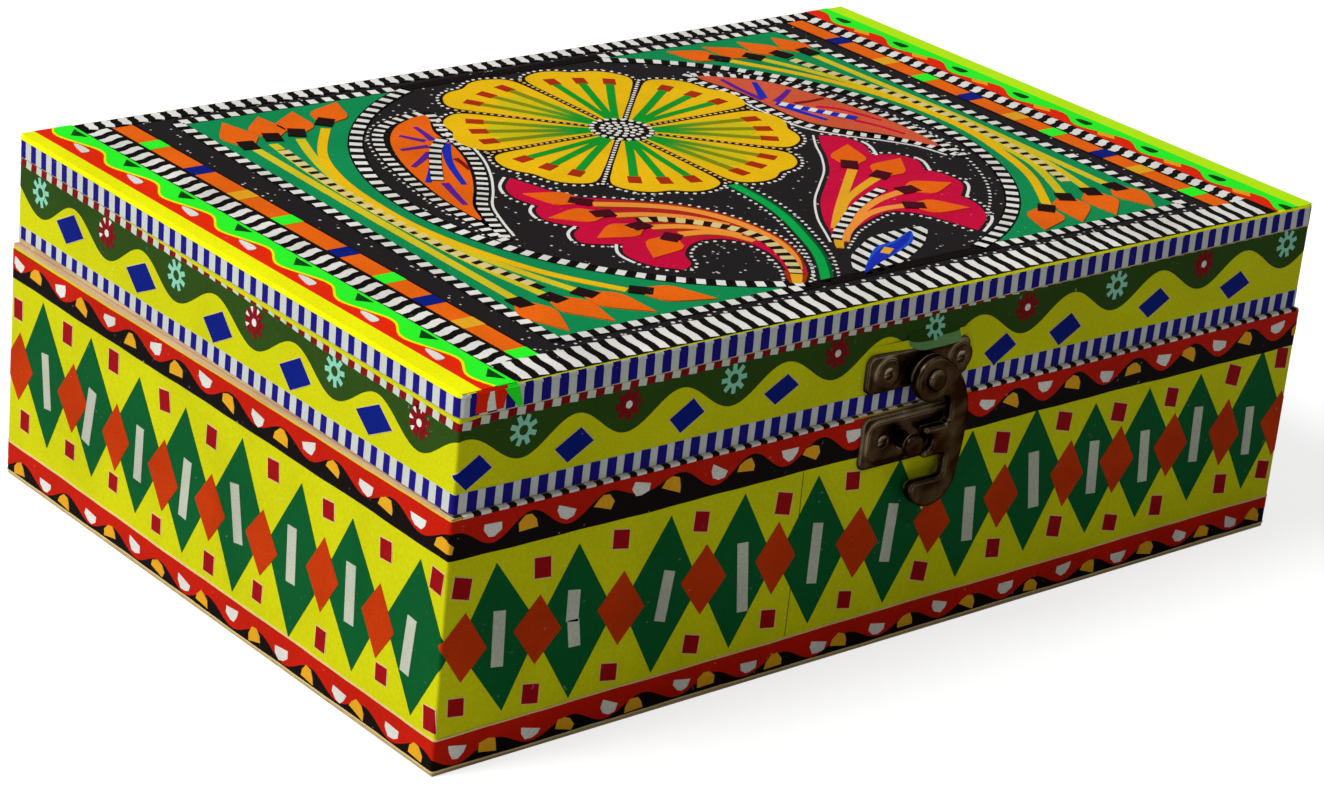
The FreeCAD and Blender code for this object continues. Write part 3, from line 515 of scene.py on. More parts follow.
def spaced(path, pitch):
    """Points at equal distances along a path, each with the path's direction in degrees."""
    spots = []
    travelled, wanted = 0.0, pitch / 2
    for start, end in zip(path, path[1:]):
        run = Vector(end) - Vector(start)
        while run.length and wanted <= travelled + run.length:
            spot = Vector(start) + run * ((wanted - travelled) / run.length)
            spots.append((spot.x, spot.y, math.degrees(math.atan2(run.y, run.x))))
            wanted += pitch
        travelled += run.length
    return spots


def doubled_area(outline):
    """Twice the area inside an outline, positive where it runs to the left."""
    return sum(x0 * y1 - x1 * y0 for (x0, y0), (x1, y1) in zip(outline, outline[1:] + outline[:1]))


def clip(outline, low, high, axis=0):
    """Part of an outline between two limits across or along it."""
    for limit, sign in ((low, 1), (high, -1)):
        kept = []
        for start, end in zip(outline, outline[1:] + outline[:1]):
            before, after = (start[axis] - limit) * sign, (end[axis] - limit) * sign
            if before >= 0:
                kept.append(tuple(start))
            if (before >= 0) != (after >= 0):
                kept.append(tuple(Vector(start).lerp(Vector(end), before / (before - after))))
        outline = kept
    return outline


# Surfaces that film is laid on


class Ring:
    """Outside of four walls, unrolled: left, front, right and back from the back left corner."""

    hand = 1
    NORMALS = ((-1, 0), (0, -1), (1, 0), (0, 1))

    def __init__(self, width, depth, radius, base):
        self.half = Vector((width / 2, depth / 2))
        self.radius = radius
        self.base = base
        self.starts = [0, depth, depth + width, 2 * depth + width]
        self.total = 2 * (width + depth)
        ends = self.starts[1:] + [self.total]
        self.breaks = sorted({edge for start, end in zip(self.starts, ends)
                              for edge in (start, start + radius / 2, start + radius,
                                           end - radius, end - radius / 2)} | {self.total})

    def at(self, run, rise, height):
        """Point at a distance round the walls, a height above the base and a height off the wall."""
        run %= self.total
        side = max(index for index, start in enumerate(self.starts) if run >= start)
        start = self.starts[side]
        end = (self.starts + [self.total])[side + 1]
        out = Vector(self.NORMALS[side])
        along = Vector((-out.y, out.x))
        if run - start < self.radius:
            near, past, bent = Vector(self.NORMALS[side - 1]), out, run - start + self.radius
        elif end - run < self.radius:
            near, past, bent = out, along, run - end + self.radius
        else:
            middle = run - (start + end) / 2
            spot = Vector((out.x * self.half.x, out.y * self.half.y)) + along * middle + out * height
            return Vector((spot.x, spot.y, rise))
        angle = bent / (2 * self.radius) * math.pi / 2
        normal = near * math.cos(angle) + past * math.sin(angle)
        corner = Vector(((near.x + past.x) * (self.half.x - self.radius),
                         (near.y + past.y) * (self.half.y - self.radius)))
        spot = corner + normal * (self.radius + height)
        return Vector((spot.x, spot.y, rise))

    def parts(self, outline):
        """An outline cut where the walls bend."""
        cut = []
        for shift in (-self.total, 0, self.total):
            moved = [(x + shift, y) for x, y in outline]
            low, high = min(x for x, y in moved), max(x for x, y in moved)
            for start, end in zip(self.breaks, self.breaks[1:]):
                if start < high and end > low:
                    part = clip(moved, start, end)
                    if len(part) > 2:
                        cut.append(part)
        return cut

    def columns(self, pitch):
        """Places round the walls for the columns of a band."""
        count = math.ceil(self.total / pitch)
        return sorted({self.total * index / count for index in range(count + 1)} | set(self.breaks[1:-1]))


class Top:
    """Top of the lid on a grid of fifths of a millimetre, from the back left corner to the front right."""

    hand = -1
    WIDE, DEEP, LAP, PER_MM = 1524, 1016, 3, 5

    def __init__(self, low, high):
        self.low, self.high = low / MM, high / MM
        self.base = 0

    def at(self, run, rise, height):
        """Point on the top."""
        return Vector((self.low.x + (self.high.x - self.low.x) * run / self.WIDE,
                       self.high.y - (self.high.y - self.low.y) * rise / self.DEEP, self.high.z + height))

    def parts(self, outline):
        """An outline cut at the edges of the top."""
        part = clip(clip(outline, -self.LAP, self.WIDE + self.LAP), -self.LAP, self.DEEP + self.LAP, 1)
        return [part] if len(part) > 2 else []


class Cutting:
    """Thin pieces of film gathered into one named piece, whose films and other finishes go by name."""

    def __init__(self, name, body, slot, *tones, **finishes):
        self.name, self.body, self.slot = name, body, slot
        self.finishes = {tone: film(tone) for tone in tones} | finishes
        self.points, self.faces, self.marks = [], [], []

    def face(self, corners, tone=None):
        """Add one face in a named finish, or else in the first."""
        self.faces.append(tuple(corners))
        self.marks.append(list(self.finishes).index(tone) if tone else 0)

    def lay(self, surface, outline, layer, tone=None):
        """Lay one cut piece: its face and the thin edge round it."""
        high = surface.base + layer * size("layer")
        for part in surface.parts(list(outline)):
            area = doubled_area(part)
            if abs(area) < 1e-6:
                continue
            if area * surface.hand < 0:
                part = part[::-1]
            count, start = len(part), len(self.points)
            for height in (high, surface.base):
                self.points += [surface.at(x, y, height) * MM for x, y in part]
            self.face(range(start, start + count), tone)
            for index in range(count):
                after = (index + 1) % count
                self.face((start + count + index, start + count + after, start + after, start + index), tone)

    def band(self, ring, low, high, layer, tone=None, pitch=1.4):
        """Wrap a band between two edges, each a function of the place round the walls; layer 0 is the ground."""
        runs = ring.columns(pitch)
        start = len(self.points)
        thickness, foot = FILM + layer * size("layer"), FILM if layer else 0.0
        for run in runs:
            place = min(run, ring.total - 1e-6)
            bottom, top = low(run), high(run)
            for rise, height in ((bottom, foot), (bottom, thickness), (top, thickness), (top, foot)):
                self.points.append(ring.at(place, rise, height) * MM)
        for here in range(start, start + 4 * len(runs) - 4, 4):
            for edge in range(here, here + 3):
                self.face((edge, edge + 4, edge + 5, edge + 1), tone)

    def done(self, *replaced):
        """Make the piece, give it its finishes and set it on its body."""
        mesh = bpy.data.meshes.new(self.name)
        mesh.from_pydata(self.points, [], self.faces)
        for material in self.finishes.values():
            mesh.materials.append(material)
        mesh.polygons.foreach_set("material_index", self.marks)
        mesh.update()
        piece = bpy.data.objects.new(self.name, mesh)
        bpy.context.scene.collection.objects.link(piece)
        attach(piece, self.body)
        if replaced:
            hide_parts(*replaced)


def node_box(node):
    """Lowest and highest corner of a CAD piece, in millimetres."""
    return [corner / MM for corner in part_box(node)]


# Sizes of the parts that the film lies on
BODY_LOW, BODY_HIGH = node_box("body_front_wall")
LID_LOW, LID_HIGH = node_box("lid_front_rail")
BOARD_HIGH = node_box("lid_top_board")[1]
BOARD_BEND = 2.0
WRAP_LOW, WRAP_HIGH = node_box("body_wrap")
LID_WRAP_LOW, LID_WRAP_HIGH = node_box("lid_wrap")
TAPE_LOW, TAPE_HIGH = node_box("board_edge_tape")
FILM = BODY_LOW.x - WRAP_LOW.x
BODY_WIDTH, BODY_DEPTH = 2 * BODY_HIGH.x, -2 * BODY_LOW.y
LID_WIDTH, LID_DEPTH = 2 * LID_HIGH.x, -2 * LID_LOW.y


def body_ring():
    """Outside of the body's film."""
    return Ring(BODY_WIDTH, BODY_DEPTH, size("corner_round"), FILM)


def lid_ring():
    """Outside of the lid's film."""
    return Ring(LID_WIDTH, LID_DEPTH, size("corner_round"), FILM)


def board_ring():
    """Outside of the tape on the board's edge."""
    return Ring(2 * BOARD_HIGH.x, 2 * BOARD_HIGH.y, BOARD_BEND, FILM)


def top_sheet():
    """Top of the lid."""
    return Top(*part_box("top_film"))


def ripple(run, seed, reach):
    """Small waver of a hand-cut edge."""
    return reach * (math.sin(run / 17.3 + seed) + 0.6 * math.sin(run / 6.1 + 2.7 * seed)
                    + 0.3 * math.sin(run / 2.3 + 1.3 * seed)) / 1.9


def ramp(run, stops):
    """Value between stops, each a place and a value."""
    for (x0, y0), (x1, y1) in zip(stops, stops[1:]):
        if run <= x1:
            return y0 + (y1 - y0) * max(run - x0, 0) / (x1 - x0)
    return stops[-1][1]


class STORAGEBOX_OT_wood(bpy.types.Operator):
    """Give the boards a bare wood finish whose grain follows each board"""

    bl_idname = "storage_box.wood"
    bl_label = "Bare Wood"

    ALONG_X = ("body_front_wall", "body_back_wall", "bottom_panel", "lid_front_rail", "lid_back_rail",
               "lid_top_board")
    ALONG_Y = ("body_left_wall", "body_right_wall", "lid_left_rail", "lid_right_rail")

    def execute(self, context):
        for names, material in ((self.ALONG_X, bare_wood("along_front", (14, 260, 260))),
                                (self.ALONG_Y, bare_wood("along_side", (260, 14, 260)))):
            for name in names:
                dress_node(name, material)
        return {"FINISHED"}


def dress_node(name, material):
    """Give a kept solid its finish."""
    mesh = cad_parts[name].data
    mesh.materials.clear()
    mesh.materials.append(material)


class STORAGEBOX_OT_metalwork(bpy.types.Operator):
    """Give the latch, hinges, screws and pins their metal finishes"""

    bl_idname = "storage_box.metalwork"
    bl_label = "Latch and Hinges"

    BRONZE = ("keeper_plate", "latch_plate", "left_hinge_box_leaf", "right_hinge_box_leaf",
              "left_hinge_lid_leaf", "right_hinge_lid_leaf", "left_hinge_pin", "right_hinge_pin",
              "hinge_box_screws", "hinge_lid_screws")
    # Parts whose edges are painted brightest, as rubbed wear and painted highlight.
    RUBBED_AND_LIT = ("latch_hook", "keeper_stud", "latch_rivet", "latch_screws", "keeper_screws")
    PINS = ("corner_pins", "bottom_pins", "lid_corner_pins", "board_pins")

    def execute(self, context):
        for names, material in ((self.BRONZE, metal("bronze", "bronze", "bronze_worn_and_lit", 0.85)),
                                (self.RUBBED_AND_LIT, metal("rubbed_and_lit_bronze", "bronze", "bronze_worn_and_lit", 1.0)),
                                (self.PINS, metal("pin_steel", "steel", "silver", 0.6))):
            for name in names:
                dress_node(name, material)
        return {"FINISHED"}


class STORAGEBOX_OT_body_film(bpy.types.Operator):
    """Wrap the walls of the box in yellow film with hand-cut edges"""

    bl_idname = "storage_box.body_film"
    bl_label = "Wall Film"

    def execute(self, context):
        ground = Cutting("body_ground_film", "box", "body_film", "yellow")
        ground.band(body_ring(), body_foot, body_edge, 0)
        ground.done("body_wrap")
        return {"FINISHED"}


def body_edge(run):
    """Upper edge of the wall film, which falls away towards the back."""
    front = BODY_DEPTH
    drop = ramp(run, ((0, 0.3), (front, 0.9), (front + 6, 1.15), (front + BODY_WIDTH, 1.15),
                      (2 * front + BODY_WIDTH, 0.3), (2 * (front + BODY_WIDTH), 0.3)))
    return WRAP_HIGH.z + drop + ripple(run, 1.0, 0.16)


def body_foot(run):
    """Lower edge of the wall film."""
    return WRAP_LOW.z + ripple(run, 4.0, 0.2)


class STORAGEBOX_OT_body_borders(bpy.types.Operator):
    """Lay the scalloped red and black borders with their white and amber chips"""

    bl_idname = "storage_box.body_borders"
    bl_label = "Wall Borders"

    # Places round the walls: a white chip of each border, and the one dip that is hardly cut
    FIRST_WHITE, FIRST_WHITE_BELOW, SHALLOW_DIP = 215.7, 209.9, 263.0
    # Heights above the base, in millimetres
    UPPER_BLACK, LOWER_BLACK = (58.2, 67.4), 7.4
    UPPER_SCALLOPS, LOWER_SCALLOPS, LOWER_RED = 63.0, 4.2, 10.1
    CREAM_LINE = (9.95, 10.45)
    # Each row of chips: place of a white one, heights of the white and amber ones, share of the border's rise
    CHIP_ROWS = ((FIRST_WHITE, 63.7, 62.4, 1), (FIRST_WHITE_BELOW, 5.2, 4.3, 0))
    WHITE_CHIP, AMBER_CHIP = (5.8, 3.6), (6.0, -4.0)

    def execute(self, context):
        ring = body_ring()
        pitch, rise = size("scallop_pitch"), size("scallop_rise")
        front, right = ring.starts[1], ring.starts[2]

        def wave(run, first):
            """Height of the scallops from -1 at a white chip to 1 at an amber chip."""
            return -math.cos(2 * math.pi * (run - first) / pitch)

        def lift(run):
            """Rise of the upper border along the left wall."""
            return ramp(run % ring.total, ((0, 1.3), (front - 40, 1.0), (front + 4, 0), (ring.total - 30, 0),
                                           (ring.total, 1.3)))

        def swell(run):
            """Extra height of the humps along the front."""
            return ramp(run % ring.total, ((front - 4, 0), (front + 10, 0.9), (right - 4, 0.9),
                                           (right + 10, 0)))

        def upper_scallop(run):
            """Lower edge of the upper red film, with one dip that is hardly cut."""
            return (self.UPPER_SCALLOPS + lift(run) + swell(run)
                    + (rise + swell(run)) * wave(run, self.FIRST_WHITE)
                    + 3.2 * math.exp(-((run - self.SHALLOW_DIP) / 7) ** 2) + ripple(run, 3.0, 0.3))

        def bare_edge(run):
            """Yellow film left bare above the red."""
            return ramp(run, ((0, 0.6), (70, 0.12), (right, 0.12), (right + 30, 0.5), (ring.total, 0.6)))

        def lower_scallop(run):
            """Lower edge of the lower red film."""
            cut = self.LOWER_SCALLOPS + rise * wave(run, self.FIRST_WHITE_BELOW) + ripple(run, 5.0, 0.3)
            return max(cut, body_foot(run))

        def level(height):
            """Hand-cut edge at one height."""
            return lambda run: height + ripple(run, 6.0, 0.2)

        humps = Cutting("body_border_humps", "box", "body_film", "black")
        low, high = self.UPPER_BLACK
        humps.band(ring, lambda run: low + lift(run) + ripple(run, 2.0, 0.25),
                   lambda run: high + 0.6 * lift(run), 1)
        humps.band(ring, body_foot, lambda run: self.LOWER_BLACK, 1)
        humps.done()
        scallops = Cutting("body_border_scallops", "box", "body_film", "red")
        scallops.band(ring, upper_scallop, lambda run: body_edge(run) - bare_edge(run), 2, pitch=0.9)
        scallops.band(ring, lower_scallop, level(self.LOWER_RED), 2, pitch=0.9)
        scallops.done()
        lines = Cutting("body_border_lines", "box", "body_film", "cream")
        lines.band(ring, level(self.CREAM_LINE[0]), level(self.CREAM_LINE[1]), 3)
        lines.band(ring, lambda run: body_foot(run) - 0.1, lambda run: body_foot(run) + 0.35, 3)
        lines.done()
        chance = random.Random(11)
        chips = Cutting("body_border_chips", "box", "body_film", "white", "amber")
        for index in range(round(ring.total / pitch)):
            for first, white_rise, amber_rise, share in self.CHIP_ROWS:
                white = (first + index * pitch + chance.uniform(-1.4, 1.4),
                         white_rise + chance.uniform(-1.0, 0.8))
                amber = (first + (index + 0.42) * pitch + chance.uniform(-1.2, 1.2),
                         amber_rise + chance.uniform(-0.5, 0.7))
                turn = -10 if front < white[0] < right else 0
                climb = share * (lift(white[0]) + swell(white[0]))
                chips.lay(ring, chip(white[0], white[1] + climb, *self.WHITE_CHIP, chance, turn), 3)
                climb = share * (lift(amber[0]) + 1.6 * swell(amber[0]))
                amber_chip = chip(amber[0], amber[1] + climb, *self.AMBER_CHIP, chance, turn)
                chips.lay(ring, amber_chip, 3, "amber")
        chips.done()
        return {"FINISHED"}


def chip(x, y, width, height, chance, turn=0):
    """Small uneven cut piece with a flat upper side; one of negative height has its flat side below."""
    shape = ((-0.5, 0.4), (-0.46, -0.1), (-0.16, -0.5), (0.2, -0.47), (0.46, -0.08), (0.48, 0.42))
    lean = math.radians(chance.uniform(-16, 16) + turn)
    corners = []
    for a, b in shape:
        across = width * (a + chance.uniform(-0.07, 0.07))
        up = height * (b + chance.uniform(-0.09, 0.09))
        corners.append((x + across * math.cos(lean) - up * math.sin(lean),
                        y + across * math.sin(lean) + up * math.cos(lean)))
    return corners


# Places on the walls, in millimetres from the left end of a wall and from the base
FRONT_DIAMONDS = (
    (14.7, 55.0, 20.0, 13.2), (40.3, 54.4, 41.2, 11.2), (69.7, 55.4, 68.0, 11.5), (94.2, 56.2, 94.2, 12.0),
    (119.5, 55.9, 121.7, 12.4), (148.8, 54.5, 148.8, 12.0), (175.0, 57.4, 175.8, 13.4),
    (199.2, 59.0, 201.7, 15.4), (223.0, 55.9, 226.2, 15.4), (244.7, 56.2, 246.7, 15.7),
    (265.8, 56.5, 268.3, 16.2), (291.7, 59.0, 292.0, 14.9))
SIDE_DIAMONDS = (
    (16.7, 57.9, 20.8, 15.7), (41.7, 56.7, 44.2, 16.5), (66.2, 54.5, 66.7, 14.9), (88.8, 54.5, 90.0, 12.9),
    (115.3, 56.2, 114.2, 12.0), (142.2, 54.5, 140.3, 10.4), (164.5, 54.0, 168.0, 13.2),
    (192.8, 54.9, 193.2, 12.5))
FRONT_LOZENGES = (
    (6.3, 34.0), (29.2, 33.4), (55.8, 32.9), (82.8, 34.5), (107.2, 34.9), (136.2, 32.9), (163.7, 32.9),
    (189.5, 34.9), (215.0, 36.2), (235.0, 36.2), (257.2, 36.2), (280.0, 35.4), (303.3, 33.7))
SIDE_LOZENGES = (
    (5.0, 34.5), (33.3, 35.7), (55.8, 32.9), (79.5, 31.2), (102.2, 31.2), (126.2, 31.2), (153.3, 33.7),
    (177.5, 31.5))
FRONT_BARS = (
    (17.0, 33.9, 2, 15.4), (40.0, 37.4, 1, 8.8), (41.0, 29.6, 9, 7.6), (70.0, 32.9, -7, 14.4),
    (96.3, 32.0, 7, 20.0), (121.2, 33.2, 0, 17.6), (147.8, 33.2, -3, 17.2), (177.5, 32.2, 5, 16.2),
    (201.7, 37.2, 10, 17.0), (225.3, 36.0, 5, 16.2), (246.3, 35.0, 7, 16.0), (267.5, 37.4, 3, 17.2),
    (290.5, 33.9, 4, 15.2))
SIDE_BARS = (
    (19.7, 35.4, 8, 16.0), (42.2, 33.7, -10, 16.6), (67.5, 32.7, -2, 15.8), (90.3, 31.7, -5, 17.0),
    (114.5, 34.5, 11, 16.2), (139.7, 33.4, 2, 15.6), (165.5, 33.7, 2, 16.4), (190.5, 30.5, -6, 15.8))
FRONT_RECTANGLES = (
    (4.5, 50.4), (29.2, 50.4), (53.7, 52.5), (80.0, 51.5), (108.0, 50.4), (132.0, 51.7), (187.0, 51.4),
    (210.8, 52.9), (233.0, 51.2), (254.5, 51.5), (280.0, 53.4), (300.5, 54.9), (5.5, 17.9), (28.7, 15.7),
    (53.7, 15.4), (80.8, 16.5), (107.0, 17.4), (134.2, 16.5), (161.3, 18.7), (189.2, 19.2), (213.0, 20.5),
    (236.2, 16.5), (255.0, 17.7), (282.0, 18.7), (300.3, 19.4))
SIDE_RECTANGLES = (
    (3.7, 51.2), (29.7, 53.4), (53.3, 54.2), (78.7, 52.5), (101.3, 51.0), (129.7, 53.0), (154.2, 52.0),
    (178.8, 51.4), (199.7, 52.0), (8.8, 19.2), (32.8, 20.0), (55.3, 19.4), (77.2, 16.0), (102.8, 15.4),
    (125.5, 16.9), (154.2, 15.9), (180.3, 18.0), (200.8, 15.0))


def round_walls(ring, side, front, shared=0):
    """Places of all four walls: the unseen walls repeat the seen ones, less what they share at a corner."""
    walls = (side, front, side[shared:], front[:len(front) - shared])
    return [(start + place[0], *place[1:]) for start, places in zip(ring.starts, walls) for place in places]


class STORAGEBOX_OT_body_diamonds(bpy.types.Operator):
    """Lay the diamonds, bars and small rectangles on the walls"""

    bl_idname = "storage_box.body_diamonds"
    bl_label = "Wall Diamonds"

    # Place of the join in the film from the front left corner, and its run up the wall
    JOIN, JOIN_HEIGHTS = 113.9, (10.6, 34.0, 58.2)
    # Fall of the upper and lower edges along the front, and how the small rectangles differ from their sizes
    FRONT_FALL, SIDE_WIDTH_SHARE, HEIGHT_SHARE = 0.2, 0.9, 0.84

    def execute(self, context):
        ring = body_ring()
        chance = random.Random(5)
        half = size("diamond_half")

        def on_front(run):
            """Whether a place is on the front wall."""
            return ring.starts[1] < run < ring.starts[2]

        def skewed(outline, middle):
            """Outline as cut for the front, where the upper and lower edges fall to the right."""
            fall = self.FRONT_FALL if on_front(middle) else 0
            return [(x, y - fall * (x - middle)) for x, y in outline]

        tall = Cutting("body_tall_diamonds", "box", "body_film", "green")
        side, front = [[(x, y, low_x - x, low_y) for x, y, low_x, low_y in places]
                       for places in (SIDE_DIAMONDS, FRONT_DIAMONDS)]
        for x, top, shift, bottom in round_walls(ring, side, front):
            middle_x, middle_y = x + shift / 2, (top + bottom) / 2
            left, right = (middle_x - half, middle_y), (middle_x + half, middle_y)
            tall.lay(ring, [(x + shift, bottom), right, (x, top), left], 1)
        tall.done()
        short = Cutting("body_short_diamonds", "box", "body_film", "vermilion")
        for x, y in round_walls(ring, SIDE_LOZENGES, FRONT_LOZENGES, 1):
            short.lay(ring, lozenge(x, y, size("lozenge_width") * chance.uniform(0.92, 1.06),
                                    size("lozenge_height") * chance.uniform(0.93, 1.05),
                                    chance.uniform(-0.8, 0.8) - (0.9 if on_front(x) else 0)), 2)
        short.done()
        bars = Cutting("body_bars", "box", "body_film", "pearl")
        for x, y, tilt, height in round_walls(ring, SIDE_BARS, FRONT_BARS):
            bar = box_outline(x, y, size("bar_width") * chance.uniform(0.92, 1.08), height, tilt)
            bars.lay(ring, skewed(bar, x), 3)
        bars.done()
        margin = 2 * size("edge_margin")
        small = Cutting("body_rectangles", "box", "body_film", "cream", "crimson")
        for x, y in round_walls(ring, SIDE_RECTANGLES, FRONT_RECTANGLES):
            width = size("chip_width") * chance.uniform(0.92, 1.1)
            if not on_front(x):
                width *= self.SIDE_WIDTH_SHARE
            height = size("chip_height") * chance.uniform(0.8, 1.12) * self.HEIGHT_SHARE
            tilt = chance.uniform(-5, 8) - (4 if on_front(x) else 0)
            small.lay(ring, skewed(box_outline(x, y, width + margin, height + margin, tilt), x), 1)
            inner = box_outline(x, y, width, height, tilt + chance.uniform(-2, 2))
            small.lay(ring, skewed(inner, x), 2, "crimson")
        small.done()
        join = Cutting("body_film_join", "box", "body_film", "umber")
        run = ring.starts[1] + self.JOIN
        places = (run, run + 0.25, run - 0.05)
        join.lay(ring, ribbon(list(zip(places, self.JOIN_HEIGHTS)), 0.22), 0.4)
        join.done()
        return {"FINISHED"}


# The lid's scroll: places of its lowest points round the lid
SIDE_DIPS = (11.2, 45.3, 79.2, 115.5, 150.8, 186.2)
FRONT_DIPS = (19.2, 51.7, 85.8, 120.8, 155.0, 189.5, 224.2, 259.2, 294.2)
SIDE_LID_LOZENGES = ((26.7, 82.9), (62.5, 81.6), (99.2, 81.1), (134.2, 81.3), (168.0, 82.1))
FRONT_LID_LOZENGES = ((4.7, 80.4), (35.5, 81.3), (71.2, 81.9), (102.5, 82.9), (181.2, 79.4), (205.8, 80.6),
                      (240.8, 82.1), (274.2, 81.6))
UNSEEN_DIPS, UNSEEN_LOZENGE_HEIGHT = 14, 81.6
AT_LATCH = 155.0
FLOWER_RISE = 3.2


def scroll_dips(ring):
    """Lowest points of the scroll all round the lid, evenly spaced on the unseen sides."""
    seen = list(SIDE_DIPS) + [ring.starts[1] + place for place in FRONT_DIPS]
    step = (ring.total + seen[0] - seen[-1]) / (UNSEEN_DIPS + 1)
    return seen + [seen[-1] + step * (index + 1) for index in range(UNSEEN_DIPS)]


def lozenge_places(ring, dips):
    """Places of the lid's lozenges, half way between the dips on the unseen sides."""
    seen = [(start + x, y) for start, places in zip(ring.starts, (SIDE_LID_LOZENGES, FRONT_LID_LOZENGES))
            for x, y in places]
    unseen = dips[-UNSEEN_DIPS - 1:] + [dips[0] + ring.total]
    return seen + [((first + last) / 2, UNSEEN_LOZENGE_HEIGHT) for first, last in zip(unseen, unseen[1:])]


def scroll_middle(ring, run):
    """Middle height of the scroll, which climbs along the front."""
    return ramp(run, ((0, 85.0), (ring.starts[1], 85.2), (ring.starts[2], 87.7), (ring.total, 85.0)))


def lid_foot(run):
    """Lower edge of the lid's tape, which rises towards the back."""
    front = LID_DEPTH
    rise = ramp(run, ((0, 0.5), (front, -0.9), (front + LID_WIDTH, -0.85), (2 * front + LID_WIDTH, 0.6),
                      (2 * (front + LID_WIDTH), 0.9)))
    return LID_WRAP_LOW.z + rise + ripple(run, 7.0, 0.1)


class STORAGEBOX_OT_lid_film(bpy.types.Operator):
    """Wrap the lid's rails in yellow film with the olive scroll above it"""

    bl_idname = "storage_box.lid_film"
    bl_label = "Lid Film and Scroll"

    def execute(self, context):
        ring = lid_ring()
        ground = Cutting("lid_ground_film", "lid", "lid_film", "yellow")
        ground.band(ring, lid_foot, lambda run: LID_WRAP_HIGH.z, 0)
        ground.done("lid_wrap")
        dips = scroll_dips(ring)
        around = [dips[-1] - ring.total] + dips + [dips[0] + ring.total]

        def scroll(run):
            """Lower edge of the olive film."""
            before = max(place for place in around if place <= run)
            after = min(place for place in around if place > run)
            turn = math.cos(2 * math.pi * (run - before) / (after - before))
            return scroll_middle(ring, run) - size("scroll_rise") * turn + ripple(run, 8.0, 0.15)

        olive = Cutting("lid_scroll", "lid", "lid_film", "olive")
        olive.band(ring, scroll, lambda run: LID_WRAP_HIGH.z - 0.35, 1, pitch=0.9)
        olive.done()
        self.dash_strip(ring)
        margin = 2 * size("edge_margin")
        lozenges = Cutting("lid_lozenges", "lid", "lid_film", "cream", "blue")
        chance = random.Random(3)
        for x, y in lozenge_places(ring, dips):
            wide, tall, lean = chance.uniform(11.2, 12.8), chance.uniform(7.8, 9.0), chance.uniform(-0.5, 0.3)
            if x < ring.starts[1]:
                wide, tall = 1.2 * wide, 1.12 * tall
            lozenges.lay(ring, lozenge(x, y, wide + 1.6 * margin, tall + margin, lean, 1.7), 1)
            lozenges.lay(ring, lozenge(x, y, wide, tall, lean, 1.7), 2, "blue")
        lozenges.done()
        flowers = Cutting("lid_flowers", "lid", "lid_film", "mint", "maroon", "white")
        for index, run in enumerate(dips):
            if run != ring.starts[1] + AT_LATCH:
                dark = index % 2
                small_flower(flowers, ring, run, scroll_middle(ring, run) + FLOWER_RISE, dark, chance,
                             white_below=dark and run < ring.starts[1])
        flowers.done()
        return {"FINISHED"}

    @staticmethod
    def dash_strip(ring):
        """Yellow line and red and pale dashes under the board, both of uneven depth."""
        front, right = ring.starts[1], ring.starts[2]
        crown = LID_WRAP_HIGH.z
        line = ((0, 0.1), (46, 0.1), (100, 1.4), (front, 1.2), (front + 9, 0.1), (ring.total, 0.1))
        depth = ((0, 2.2), (62, 2.2), (86, 1.1), (104, 0.7), (128, 0.8), (144, 1.8), (front, 2.2),
                 (front + 110, 1.7), (front + 168, 0.7), (front + 200, 0.1), (right, 0.1), (right + 40, 2.0),
                 (ring.total, 2.2))

        def line_foot(run):
            """Lower edge of the yellow line."""
            return crown - ramp(run, line)

        strip = Cutting("lid_dash_strip", "lid", "lid_film", "maroon", "pale_mint", "yellow")
        strip.band(ring, line_foot, lambda run: crown, 2, "yellow")
        strip.band(ring, lambda run: line_foot(run) - ramp(run, depth), line_foot, 2)
        count = round(ring.total / size("stripe_pitch"))
        for index in range(count):
            run = (index + 0.88) * ring.total / count
            deep = ramp(run, depth)
            strip.lay(ring, box_outline(run, line_foot(run) - deep / 2, 2.6, deep, -6), 3, "pale_mint")
        strip.done()


def small_flower(cutting, surface, x, y, dark, chance, layer=2, share=1.0, white_below=False):
    """Eight petals round a ring: mint with an open eye, or maroon with a white eye and white slips below."""
    turn = chance.uniform(0, 40)
    tone = "maroon" if dark else "mint"

    def petal(degrees, width, layer, tone):
        """One straight petal."""
        out = Matrix.Rotation(math.radians(degrees), 2) @ Vector((3.0 * share, 0))
        outline = box_outline(x + out.x, y + out.y, 2.3 * share, width * share, degrees)
        cutting.lay(surface, outline, layer, tone)

    for spoke in range(8):
        petal(45 * spoke + turn, 1.75 if dark else 1.35, layer, tone)
        between = 45 * spoke + turn + 22.5
        if white_below and 60 < between < 240:
            petal(between, 1.1, layer - 0.5, "white")
    outer = disc(x, y, 2.45 * share, 12)
    if dark:
        cutting.lay(surface, outer, layer + 1, tone)
        cutting.lay(surface, disc(x, y, 1.05 * share, 10), layer + 2, "white")
    else:
        inner = disc(x, y, 1.4 * share, 12)
        for side in range(12):
            part = [inner[side - 1], outer[side - 1], outer[side], inner[side]]
            cutting.lay(surface, part, layer + 1, tone)


